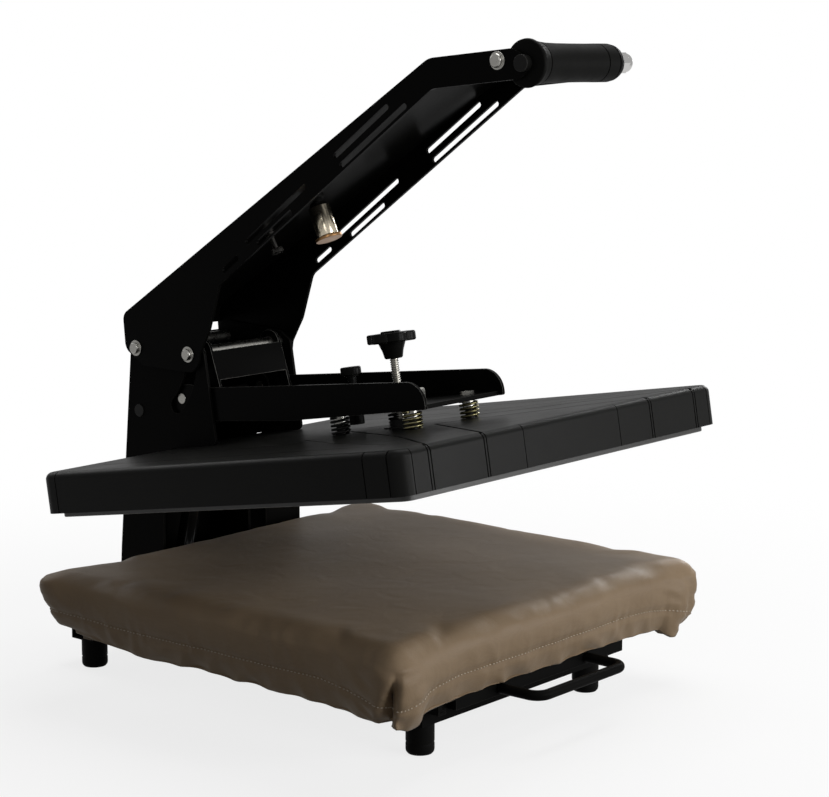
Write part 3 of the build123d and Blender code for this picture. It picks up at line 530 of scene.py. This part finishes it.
# %% Turning
def turned(shape, profile, steps, centre=(0, 0), along_x=False, closed=False):
    """Spins a profile of radius and height, in millimetres, once round an axis."""
    foot = Vector((*centre, 0))
    line = []
    for radius, height in profile:
        start = Vector((height, 0, radius)) if along_x else Vector((radius, 0, height))
        line.append(shape.verts.new((start + foot) * MM))
    ends = line[1:] + line[:1] if closed else line[1:]
    edges = [shape.edges.new(pair) for pair in zip(line, ends)]
    bmesh.ops.spin(shape, geom=line + edges, cent=foot * MM, axis=(1, 0, 0) if along_x else (0, 0, 1),
                   angle=2 * math.pi, steps=steps, use_merge=True)


def merged(shape):
    """Joins doubled points and turns the faces outwards."""
    bmesh.ops.remove_doubles(shape, verts=shape.verts, dist=0.000002)
    bmesh.ops.recalc_face_normals(shape, faces=shape.faces)


print("lathe ready")

# %% [markdown]
# ## The platen cover
# The cover is one moulding with round corners. Its front is split by narrow grooves, and
# they run on over the top, slanting to the middle. A rounded box is made with bevels and
# hollowed with solidify. The grooves are cut with thin bars and a Boolean, because bars
# can slant across a flat top where an inset can't. The last bevel gives every groove the
# fine bright lip that the photograph shows.

# %% Cover shell
cover_size = (440.0, 423.0, 33.6)
cover_centre = (0.0, -195.8, -66.2)
cover_wall = 3.0
cover = rounded_box(cover_size, cover_centre, 12.0, 10)
round_rim(cover, 3.4, 5)
underside = [f for f in cover.faces if f.normal.z < -0.9]
bmesh.ops.delete(cover, geom=underside, context="FACES_ONLY")
bmesh.ops.recalc_face_normals(cover, faces=cover.faces)
bmesh.ops.solidify(cover, geom=cover.faces, thickness=-cover_wall * MM)
print("cover shell faces", len(cover.faces))

# %% Groove cutters
def bar(start, end, width, low, high):
    """A straight bar between two points of the plan, for cutting a groove."""
    shape = bmesh.new()
    start = Vector(start)
    end = Vector(end)
    way = end - start
    centre = (start + end) / 2
    bmesh.ops.create_cube(shape, size=1.0)
    bmesh.ops.scale(shape, vec=(way.length + width, width, high - low), verts=shape.verts)
    bmesh.ops.rotate(shape, cent=(0, 0, 0), verts=shape.verts,
                     matrix=Matrix.Rotation(math.atan2(way.y, way.x), 3, "Z"))
    bmesh.ops.translate(shape, vec=(centre.x, centre.y, (low + high) / 2), verts=shape.verts)
    cutters.append(shape)


groove_depth = 1.3
wide, plain, fine = 2.6, 1.3, 0.9
front_y = cover_centre[1] - cover_size[1] / 2
side_x = cover_size[0] / 2
top_z = cover_centre[2] + cover_size[2] / 2
bar_low, bar_high = -90.0, -45.0
over_top = top_z + 6
front_grooves = ((188.6, plain), (185.4, plain), (118.6, plain), (115.4, plain), (67, fine), (208, fine))
top_grooves = (
    (((187, front_y + 1), (106, -310), (11, -168)), wide),
    (((117, front_y + 1), (2, -262)), wide),
    (((173, -354), (124, -250), (74, -171)), plain),
    (((112, -185), (112, -35)), plain),
    (((178, -330), (178, -20)), plain),
)
cutters = []
for side in (-1, 1):
    for x, width in front_grooves:
        bar((side * x, front_y - 4), (side * x, front_y + groove_depth), width, bar_low, bar_high)
    for points, width in top_grooves:
        for (x0, y0), (x1, y1) in zip(points, points[1:]):
            bar((side * x0, y0), (side * x1, y1), width, top_z - groove_depth, over_top)
for side in (-1, 1):
    for y in (-3, -372, -397):
        bar((side * (side_x + 4), y), (side * (side_x - groove_depth), y), 1.1, bar_low, bar_high)
bar((-66, front_y + 6), (205, front_y + 6), fine, top_z - fine, over_top)
print(len(cutters), "groove cutters")

# %% Holes for the boss and the guide bolts
screw_y, boss_hole = -222.0, 8.3
guide_y, guide_x, guide_step, guide_hole = -226.0, 39, 43, 4.3
hole_places = [(0, screw_y, boss_hole)]
for x in (-guide_x, guide_x):
    for y in (guide_y - guide_step, guide_y + guide_step):
        hole_places.append((x, y, guide_hole))
for x, y, radius in hole_places:
    cut = bmesh.new()
    bmesh.ops.create_cone(cut, cap_ends=True, segments=32, radius1=radius, radius2=radius, depth=20)
    bmesh.ops.translate(cut, vec=(x, y, top_z), verts=cut.verts)
    cutters.append(cut)
print(len(hole_places), "holes")

# %% Cut and lean the cover
def cut_away(shape, cutters):
    """Subtracts each cutter, drawn in millimetres, from a bmesh in metres."""
    target_data = bpy.data.meshes.new("being_cut")
    shape.to_mesh(target_data)
    shape.free()
    target = bpy.data.objects.new("being_cut", target_data)
    bpy.context.scene.collection.objects.link(target)
    tools = []
    for cut in cutters:
        bmesh.ops.scale(cut, vec=(MM, MM, MM), verts=cut.verts)
        data = bpy.data.meshes.new("cutter")
        cut.to_mesh(data)
        cut.free()
        tool = bpy.data.objects.new("cutter", data)
        bpy.context.scene.collection.objects.link(tool)
        step = target.modifiers.new("cut", "BOOLEAN")
        step.operation = "DIFFERENCE"
        step.solver = "EXACT"
        step.object = tool
        tools.append(tool)
    graph = bpy.context.evaluated_depsgraph_get()
    result = bmesh.new()
    result.from_object(target, graph)
    for spare in tools + [target]:
        data = spare.data
        bpy.data.objects.remove(spare)
        bpy.data.meshes.remove(data)
    bmesh.ops.remove_doubles(result, verts=result.verts, dist=0.000005)
    return result


cover = cut_away(cover, cutters)
soften_edges(cover, 0.35 * MM, angle=32, segments=2)
piece("cover_shell", leaned(cover), "platen", moulded_charcoal, replaces=["platen_cover"],
      sharp=50)
print("cover done")

# %% [markdown]
# ## The star knob and its screw
# The knob is a six-lobed star on a tapered hub, moulded in one piece. A circle whose
# points are pushed in and out gives the star's outline, and extrude and bevel give its
# body. The screw is a real thread: one tooth of the profile is spun round with a small
# climb at every step, as on a lathe.

# %% Star knob
star_low, star_thick = 29.5, 8.7
lobes, lobe_root, lobe_height = 6, 18.6, 3.7
knob = bmesh.new()
ring = bmesh.ops.create_circle(knob, cap_ends=True, segments=144, radius=1.0)["verts"]
for vert in ring:
    angle = math.atan2(vert.co.y, vert.co.x)
    reach = lobe_root + lobe_height * abs(math.cos(lobes / 2 * angle))
    vert.co = Vector((math.cos(angle), math.sin(angle), 0)) * reach * MM
bmesh.ops.translate(knob, vec=(0, 0, star_low * MM), verts=knob.verts)
grown = bmesh.ops.extrude_face_region(knob, geom=knob.faces[:])["geom"]
top_verts = [v for v in grown if isinstance(v, bmesh.types.BMVert)]
bmesh.ops.translate(knob, vec=(0, 0, star_thick * MM), verts=top_verts)
bmesh.ops.recalc_face_normals(knob, faces=knob.faces)
rims = [e for e in knob.edges if e.calc_face_angle(0) > math.radians(60)]
bmesh.ops.bevel(knob, geom=rims, offset=2.2 * MM, segments=5, profile=0.5, affect="EDGES", material=-1,
                clamp_overlap=True)
crown = max((f for f in knob.faces if f.normal.z > 0.9), key=lambda f: f.calc_area())
bmesh.ops.inset_region(knob, faces=[crown], thickness=3.2 * MM, depth=-0.6 * MM, use_even_offset=True)
print(lobes, "lobes")

# %% Hub and cap
hub_profile = [(4.1, 15.0), (7.2, 15.0), (8.3, 16.0), (9.6, 22.0), (12.3, 29.2), (12.3, 31.0), (4.1, 31.0)]
turned(knob, hub_profile, 48, closed=True)
cap_height = 38.9
cap = bmesh.ops.create_cone(knob, cap_ends=True, segments=48, radius1=9.6 * MM, radius2=8.6 * MM,
                            depth=1.8 * MM)
bmesh.ops.translate(knob, vec=(0, 0, cap_height * MM), verts=cap["verts"])
merged(knob)
bmesh.ops.translate(knob, vec=(0, screw_y * MM, 0), verts=knob.verts)
piece("star_knob", leaned(knob), "knob", moulded_black, replaces=["pressure_knob"], sharp=50)
print("knob", 2 * (lobe_root + lobe_height), "mm across")

# %% Threaded screw
pitch = 2.0
low_end, high_end = -48.0, 26.0
root, crest = 3.05, 3.95
turns = int((high_end - low_end) / pitch)
steps = 28
screw = bmesh.new()
tooth = [screw.verts.new((r * MM, 0, (low_end + z) * MM))
         for r, z in ((root, 0), (crest, 0.85), (crest, 1.15), (root, pitch))]
tooth_edges = [screw.edges.new(pair) for pair in zip(tooth, tooth[1:])]
bmesh.ops.spin(screw, geom=tooth + tooth_edges, cent=(0, 0, 0), axis=(0, 0, 1), use_merge=False,
               dvec=(0, 0, pitch * MM / steps), angle=2 * math.pi * turns, steps=steps * turns)
bmesh.ops.remove_doubles(screw, verts=screw.verts, dist=0.00002)
open_edges = [e for e in screw.edges if e.is_boundary]
bmesh.ops.holes_fill(screw, edges=open_edges)
bmesh.ops.recalc_face_normals(screw, faces=screw.faces)
bmesh.ops.translate(screw, vec=(0, screw_y * MM, 0), verts=screw.verts)
piece("screw_thread", leaned(screw), "knob", zinc_plate, replaces=["pressure_screw"], sharp=35,
      weighted=False)
print(turns, "turns of thread")

# %% [markdown]
# ## The hand grip
# The sleeve is a soft, satin rubber moulding. It flares to a flange at the left end, is
# rounded at the right end and carries three fine grooves. It is a lathe shape, so one
# profile is drawn along the rod and spun once round.

# %% Grip sleeve
grip_centre = Vector((0, -236, 571)) * MM
grip_bore, grip_end = 7.1, 60.5
flange = [(18.2, -60.5), (19.5, -59.4), (19.8, -57.5), (19.3, -56.0), (18.7, -54.0), (17.6, -48.2)]
first_groove = [(16.6, -47.9), (16.6, -47.1), (17.4, -46.8)]
waist = [(16.4, -36.0), (15.95, -20.0), (15.8, 0), (15.8, 20), (16.0, 34.3)]
second_groove = [(15.1, 34.6), (15.1, 35.4), (16.0, 35.7), (16.0, 49.8)]
third_groove = [(14.6, 50.2), (14.6, 51.2), (15.7, 51.6)]
round_end = [(15.2, 55.0), (14.0, 58.0), (12.2, 59.8), (10.5, 60.5)]
profile = [(grip_bore, -grip_end), *flange, *first_groove, *waist, *second_groove, *third_groove, *round_end,
           (grip_bore, grip_end)]
sleeve = bmesh.new()
turned(sleeve, profile, 72, along_x=True, closed=True)
merged(sleeve)
bmesh.ops.translate(sleeve, vec=grip_centre, verts=sleeve.verts)
piece("flared_sleeve", sleeve, "arm", grip_rubber, replaces=["grip_sleeve"], sharp=50)
print("sleeve", 2 * grip_end, "mm long, three grooves")

# %% [markdown]
# ## The pot magnet
# The magnet is a turned steel pot with a nickel skin, and it hangs from a rubber knuckle
# under the arm. Plating shows every flat of a mesh, so the pot is spun anew as one smooth
# lathe shape. Its upper end is a cup, which leaves room for the knuckle.

# %% Magnet pot
pot_radius, pot_low, cup_floor, cup_radius = 10.0, -28.0, -5.6, 8.8
magnet_lean = 24
magnet_place = Vector((0, 45, 440)) * MM
pot_profile = [(0, pot_low), (9.3, pot_low), (9.8, -27.7), (pot_radius, -27.0), (pot_radius, 0.2), (9.8, 0.8),
               (9.4, 1.0), (cup_radius, 1.0), (cup_radius, cup_floor), (0, cup_floor)]
pot = bmesh.new()
turned(pot, pot_profile, 64)
merged(pot)
hang = Matrix.Translation(magnet_place) @ Matrix.Rotation(math.radians(-magnet_lean), 4, "X")
bmesh.ops.transform(pot, matrix=hang, verts=pot.verts)
piece("magnet_pot", pot, "magnet", warm_nickel, replaces=["magnet_body"], sharp=50, weighted=False)
print("magnet pot", 2 * pot_radius, "mm across")

# %% [markdown]
# ## Rubber feet
# Each foot is a turned rubber plug with a rounded tread, so it is spun as well.

# %% Feet
foot_x, foot_ys = 118, (-175, 232)
foot_profile = [(0, 0.0), (8.6, 0.0), (10.6, 0.6), (11.9, 2.2), (12.3, 4.2), (12.3, 9.0), (11.8, 9.6),
                (11.8, 10.6), (12.3, 11.2), (12.3, 27.0), (11.6, 27.9), (0, 27.9)]
feet = bmesh.new()
for x in (-foot_x, foot_x):
    for y in foot_ys:
        turned(feet, foot_profile, 40, centre=(x, y))
merged(feet)
piece("rubber_feet", feet, "frame", grip_rubber, replaces=["feet"], sharp=50)
print("four feet")

# %% [markdown]
# ## The quilted pad
# A silicone foam sheet lies on the lower platen, and a fitted cloth cover is drawn over
# both. The cloth is full and round on top, pulled in at a stitched seam on each side, and
# gathered under the edge. Cloth simulation blows a slightly smaller block up as foam does.
# The seam, the puckers beside it, the pinched corners and the wavy hem come after it,
# because the remesh would wipe them out.

# %% Foam sheet
foam_size, foam_centre = (400, 392, 18), (0, -22, 101.3)
foam = rounded_box(foam_size, foam_centre, 24.0, 10)
bmesh.ops.recalc_face_normals(foam, faces=foam.faces)
soften_edges(foam, 4.0 * MM, angle=60, segments=4)
foam_pad = piece("foam_pad", foam, "drawer", pad_silicone, replaces=["pressing_pad"], sharp=70)
print("foam pad", foam_size, "mm")

# %% [markdown]
# ### Khaki canvas
# The cloth is a tight, slightly shiny canvas. Two crossing waves make the weave, one more
# on the third axis keeps it on the sides too, and a slow noise gives the uneven tone of
# washed cotton. The weave is faint, because from two metres away it is hardly seen.

# %% Cloth colour
canvas = bpy.data.materials.new("khaki_canvas")
canvas.use_nodes = True
tree = canvas.node_tree
shader = tree.nodes["Principled BSDF"]
shader.inputs["Specular IOR Level"].default_value = 0.18
shader.inputs["Sheen Weight"].default_value = 0.08
shader.inputs["Sheen Roughness"].default_value = 0.35
place = node(tree, "ShaderNodeTexCoord")
slow = noise_on(tree, place, 9.0, Detail=6.0, Roughness=0.6)
tone = node(tree, "ShaderNodeMix", data_type="RGBA")
tone.inputs["A"].default_value = (0.205, 0.142, 0.085, 1)
tone.inputs["B"].default_value = (0.310, 0.225, 0.142, 1)
join(tree, slow, "Fac", tone, "Factor")
rough = spread(tree, slow, "Fac", 0.38, 0.48)
join(tree, rough, "Result", shader, "Roughness")
print("canvas colour ready")

# %% Weave and small creases
wave_scale = 560.0
threads = []
for axis in ("X", "Y", "Z"):
    wave = node(tree, "ShaderNodeTexWave", wave_type="BANDS", bands_direction=axis, Scale=wave_scale,
                Distortion=0.8, Detail=1.0)
    join(tree, place, "Object", wave, "Vector")
    threads.append(wave)
both = node(tree, "ShaderNodeMath", operation="ADD")
join(tree, threads[0], "Fac", both, 0)
join(tree, threads[1], "Fac", both, 1)
weave = node(tree, "ShaderNodeMath", operation="ADD")
join(tree, both, 0, weave, 0)
join(tree, threads[2], "Fac", weave, 1)
thread_tone = spread(tree, weave, 0, 0.93, 1.05, end=float(len(threads)))
shaded = node(tree, "ShaderNodeVectorMath", operation="SCALE")
join(tree, tone, "Result", shaded, 0)
join(tree, thread_tone, "Result", shaded, "Scale")
join(tree, shaded, "Vector", shader, "Base Color")
creases = noise_on(tree, place, 38.0, Detail=4.0, Distortion=0.8)
soft_bump = node(tree, "ShaderNodeBump", Strength=0.5, Distance=0.0012)
join(tree, creases, "Fac", soft_bump, "Height")
fine_bump = node(tree, "ShaderNodeBump", Strength=0.3, Distance=0.00008)
join(tree, weave, 0, fine_bump, "Height")
join(tree, soft_bump, "Normal", fine_bump, "Normal")
join(tree, fine_bump, "Normal", shader, "Normal")
print("weave ready")

# %% Block for the cloth cover
pad_y = -22.0
block_size, block_middle = (434, 420, 54), 87
block_high = block_middle + block_size[2] / 2
block_low = block_middle - block_size[2] / 2
cloth = rounded_box(block_size, (0, pad_y, block_middle), 11.0, 5)
round_rim(cloth, 13.0, 6)
bmesh.ops.recalc_face_normals(cloth, faces=cloth.faces)
block_data = bpy.data.meshes.new("cloth_block")
cloth.to_mesh(block_data)
cloth.free()
block = bpy.data.objects.new("cloth_block", block_data)
bpy.context.scene.collection.objects.link(block)
remesh = block.modifiers.new("voxels", "REMESH")
remesh.mode = "VOXEL"
remesh.voxel_size = 5.0 * MM
graph = bpy.context.evaluated_depsgraph_get()
cloth_data = bpy.data.meshes.new_from_object(block.evaluated_get(graph))
bpy.data.objects.remove(block)
print("voxel block points", len(cloth_data.vertices))

# %% Blow the block up as cloth
last_moment = 20
swell_limit = 4.5 * MM
still = [v.co.copy() for v in cloth_data.vertices]
cloth_cover = bpy.data.objects.new("cloth_cover", cloth_data)
bpy.context.scene.collection.objects.link(cloth_cover)
swell = cloth_cover.modifiers.new("cloth", "CLOTH")
swell.settings.use_pressure = True
swell.settings.uniform_pressure_force = 4.0
swell.settings.quality = 5
swell.settings.effector_weights.gravity = 0.0
swell.point_cache.frame_start = 1
swell.point_cache.frame_end = last_moment
scene = bpy.context.scene
for moment in range(1, last_moment + 1):
    scene.frame_set(moment)
graph = bpy.context.evaluated_depsgraph_get()
blown = bpy.data.meshes.new_from_object(cloth_cover.evaluated_get(graph))
cloth_cover.modifiers.remove(swell)
for vert, start in zip(blown.vertices, still):
    move = vert.co - start
    if move.length > swell_limit:
        move *= swell_limit / move.length
    vert.co = start + move
cloth_cover.data = blown
scene.frame_set(1)
finer = cloth_cover.modifiers.new("finer", "SUBSURF")
finer.levels = 1
finer.render_levels = 1
graph = bpy.context.evaluated_depsgraph_get()
fine_data = bpy.data.meshes.new_from_object(cloth_cover.evaluated_get(graph))
cloth_cover.modifiers.remove(finer)
cloth_cover.data = fine_data
print("cloth cover points", len(cloth_cover.data.vertices))

# %% [markdown]
# ### Seam, folds and pinched corners
# A stitched seam runs round all four sides and sinks towards the front corners. The thread
# draws the cloth in there, and folds run away from it. Below the seam the cloth is pulled
# in under the platen. Its hem hangs lower at the front, and at the back it ends above the
# drawer slides, which would catch it. Each front corner is folded like a parcel: a cleft
# runs down it, beside a flap that hangs loose. All of this depends only on where a point
# lies, so the folds meet from one side to the next.

# %% Measures of the pad
half_x, half_y = 218.0, 211.0
seam_level, hem_level = 79.5, 56.5
turned_in = 26
lowest, highest = 46.0, 120.6


def field(x, y, z):
    """A slow noise between about minus one and one."""
    return noise.noise(Vector((x, y, z)))


def ridge(x, y, z):
    """A crisp fold, one on the fold's line and less to both sides."""
    return 1.0 - 2.4 * abs(field(x, y, z))


def corner_share(x, y, reach):
    """One at an upright corner of the pad and nothing beyond a reach."""
    return max(0.0, 1.0 - math.hypot(half_x - abs(x), half_y - abs(y)) / reach)


print("pad", 2 * half_x, "by", 2 * half_y, "mm")


# %% Seam and hem
def seam_height(x, y):
    """The height of the stitched seam, which sinks towards the front corners."""
    near = corner_share(x, y, 90.0)
    sink = 15.0 * near ** 1.6 if y < 0 else -4.0 * near
    return seam_level - sink + 1.4 * field(x * 0.012, y * 0.012, 5.0)


def hem_height(x, y):
    """The height of the hem, lowest at the front corners and clear of the slides at the back."""
    near = corner_share(x, y, 110.0)
    behind = min(max((y - 175.0) / 20.0, 0.0), 1.0)
    lift = -8.0 * near if y < 0 else max(13.0 * near, 9.5 * behind)
    return hem_level + lift + 2.2 * field(x * 0.03, y * 0.03, 9.0)


print("seam in front at", round(seam_height(0, -half_y), 1), "mm")
print("hem in front at", round(hem_height(0, -half_y), 1), "mm")


# %% The parcel fold of a front corner
fold_top = 103.0


def parcel_fold(x, y, z, near):
    """How far the cleft goes in and the flap stands out beside a front corner."""
    if y >= 0 or z >= fold_top:
        return 0.0, 0.0
    beside = (half_x - abs(x)) - (half_y - abs(y))
    down = (fold_top - z) / (fold_top - block_low)
    off_line = (beside - 3.0 + 15.0 * down) / (1.5 + 8.0 * down)
    cleft = 23.0 * math.exp(-off_line ** 4) * min(2.4 * down, 1.0) if near > 0.6 else 0.0
    flap_share = math.exp(-((beside - 26.0) / 14.0) ** 2) if near > 0.3 else 0.0
    flap = 6.0 * flap_share * min((fold_top - z) / 30.0, 1.0)
    return cleft, flap


print("corner folds start", fold_top, "mm up")

# %% How far the side of the cloth is pushed out
crest_low, crest_high = 92.0, 113.0


def side_push(x, y, z, near, cleft, flap):
    """Millimetres outwards at a point of the side: fullness, folds, seam and corners."""
    over_seam = z - seam_level
    up = max(over_seam, 0.0)
    low = max(0.0, -over_seam) / (seam_level - block_low)
    high = min(up / 28.0, 1.0)
    front_corner = near if y < 0 else 0.3 * near
    plump = 2.2 * math.sin(math.pi * min(up / 32.0, 1.0))
    fold = 1.1 * field(x * 0.022, y * 0.022, z * 0.02)
    crease = (1.0 + 1.4 * low) * ridge(x * 0.035 + z * 0.02, y * 0.035 - z * 0.02, z * 0.015)
    slack = 3.4 * low * ridge(x * 0.028 + z * 0.03, y * 0.028 + z * 0.03, 3.0)
    pucker = 1.4 * math.exp(-abs(over_seam) / 7.0) * field(x * 0.16, y * 0.16, 2.0)
    fan = 2.6 * front_corner * ridge(x * 0.06 + z * 0.10, y * 0.06 - z * 0.10, 8.0) if z < 106 else 0.0
    if y > 0:
        point = 15.0 * near ** 1.5 * (0.3 + 0.7 * high)
    else:
        point = 5.0 * near ** 2
    crest = 0.0
    if y < 0 and crest_low < z < crest_high:
        crest = 3.0 * near ** 4 * math.sin(math.pi * (z - crest_low) / (crest_high - crest_low))
    stitched_in = 2.2 * math.exp(-(over_seam / 2.2) ** 2)
    tucked_in = 9.0 * low ** 1.2
    outwards = plump + point * (1.0 - low) + crest + fold + crease * 0.8 + slack + pucker + fan + flap
    return outwards - stitched_in - tucked_in - cleft


print("side folds ready")


# %% Where a height of the block ends up
def side_level(x, y, z, near, flap):
    """The height of a side point, once seam and hem have found their own levels."""
    seam_here, hem_here = seam_height(x, y), hem_height(x, y)
    over_seam = z - seam_level
    if over_seam > 0:
        share = min(over_seam / (block_high - seam_level), 1.0)
        level = seam_here + share * (block_high - seam_here) + max(z - block_high, 0.0)
    else:
        share = min(-over_seam / (seam_level - block_low), 1.0)
        level = seam_here - share * (seam_here - hem_here)
    low = max(0.0, -over_seam) / (seam_level - block_low)
    high = min(max(over_seam, 0.0) / 28.0, 1.0)
    back_lift = 3.5 * near * high if y > 0 else 0.0
    return level + back_lift - 1.3 * flap * low


print("the block's top stands at", block_high, "mm")

# %% Open the cloth underneath
shape = bmesh.new()
shape.from_mesh(cloth_cover.data)
rear_open = 155
underneath = []
for face in shape.faces:
    centre = face.calc_center_median() / MM
    inside = min(half_x - abs(centre.x), half_y - abs(centre.y - pad_y))
    if face.normal.z < -0.6 and (inside > turned_in or centre.y > rear_open):
        underneath.append(face)
bmesh.ops.delete(shape, geom=underneath, context="FACES")
shape.normal_update()
print("faces taken from underneath", len(underneath))

# %% Shape the cloth
corner_reach = 70.0
calm_corner = 0.4
for vert in shape.verts:
    x, y, z = vert.co.x / MM, vert.co.y / MM - pad_y, vert.co.z / MM
    near = corner_share(x, y, corner_reach) * (calm_corner if x > 0 and y > 0 else 1.0)
    outward = Vector((vert.normal.x, vert.normal.y, 0))
    sideways = outward.length
    if sideways > 0.2:
        outward.normalize()
        cleft, flap = parcel_fold(x, y, z, near)
        push = side_push(x, y, z, near, cleft, flap)
        level = side_level(x, y, z, near, flap)
        vert.co += outward * push * MM * min(sideways * 1.3, 1.0)
        vert.co.z = (z + (level - z) * min(sideways * 1.5, 1.0)) * MM
    if vert.normal.z > 0.3 and z > 100:
        edge = max(0.0, 1.0 - min(half_x - abs(x), half_y - abs(y)) / 60.0)
        wave = 0.9 * field(x * 0.011, y * 0.011, 0.4) + 1.5 * (edge + near) * field(x * 0.03, y * 0.03, 7.0)
        vert.co.z += wave * MM
    vert.co.z = min(max(vert.co.z, lowest * MM), highest * MM)
bmesh.ops.smooth_vert(shape, verts=shape.verts, factor=0.4, use_axis_x=True, use_axis_y=True, use_axis_z=True)
shape.to_mesh(cloth_cover.data)
print("cloth faces", len(shape.faces))
shape.free()

# %% Finish the cloth cover
for face in cloth_cover.data.polygons:
    face.use_smooth = True
cloth_cover.data.materials.clear()
cloth_cover.data.materials.append(canvas)
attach(cloth_cover, "drawer")
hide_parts("pad_cover")
print("cloth cover ready")

# %% [markdown]
# ### Stitches
# The pale thread of the seam is a row of short stitches. Each one is a small capsule laid
# on the cloth, found by looking inwards from outside at the height of the seam.

# %% Path round the pad
path_x, path_y, path_corner = 245.0, 238.0, 50.0
stitch_step = 2.1


def round_the_pad(step):
    """Points on a round-cornered path outside the pad, each with its way inwards."""
    straight_x, straight_y = path_x - path_corner, path_y - path_corner
    corner_step = 1.5 * step
    for quarter in range(4):
        turn = Matrix.Rotation(quarter * math.pi / 2, 2)
        length, far = (straight_y, straight_x) if quarter % 2 == 0 else (straight_x, straight_y)
        place = -length
        while place < length:
            yield turn @ Vector((far + path_corner, place)), turn @ Vector((-1, 0))
            place += step
        corner = turn @ Vector((far, length))
        for i in range(int(0.5 * math.pi * path_corner / corner_step)):
            angle = i * corner_step / path_corner
            out_way = turn @ Vector((math.cos(angle), math.sin(angle)))
            yield corner + out_way * path_corner, -out_way


print(len(list(round_the_pad(stitch_step))), "places on the path")

# %% Points on the cloth
path_to_seam = 28.0
stitch_proud = 0.3 * MM
surface = BVHTree.FromObject(cloth_cover, bpy.context.evaluated_depsgraph_get())


def on_cloth(place, way):
    """The point of the cloth at the seam's height, looking in from a place outside it."""
    x, y = place + way * path_to_seam
    inwards = Vector((way.x, way.y, 0))
    start = Vector((place.x, place.y + pad_y, seam_height(x, y))) * MM
    hit = surface.ray_cast(start, inwards)[0]
    return hit - inwards * stitch_proud if hit else None


row = [on_cloth(*spot) for spot in round_the_pad(stitch_step)]
print(sum(point is not None for point in row), "of them meet the cloth")

# %% Stitch row
thread_radius = 0.52 * MM
longest = 6 * MM
stitches = bmesh.new()
count = 0
for first, last in zip(row[::2], row[1::2]):
    if first is None or last is None or (last - first).length > longest:
        continue
    way = (last - first) * 1.25
    made = bmesh.ops.create_icosphere(stitches, subdivisions=1, radius=1.0)["verts"]
    bmesh.ops.scale(stitches, vec=(thread_radius, thread_radius, way.length / 2), verts=made)
    bmesh.ops.rotate(stitches, cent=(0, 0, 0), matrix=way.to_track_quat("Z", "X").to_matrix(), verts=made)
    bmesh.ops.translate(stitches, vec=(first + last) / 2, verts=made)
    count += 1
thread = hard_finish("pale_thread", (0.46, 0.39, 0.30), (0.60, 0.52, 0.42), (0.55, 0.7),
                     grain=(2500.0, 0.00005))
piece("seam_stitches", stitches, "drawer", thread, sharp=80, weighted=False)
print(count, "stitches")
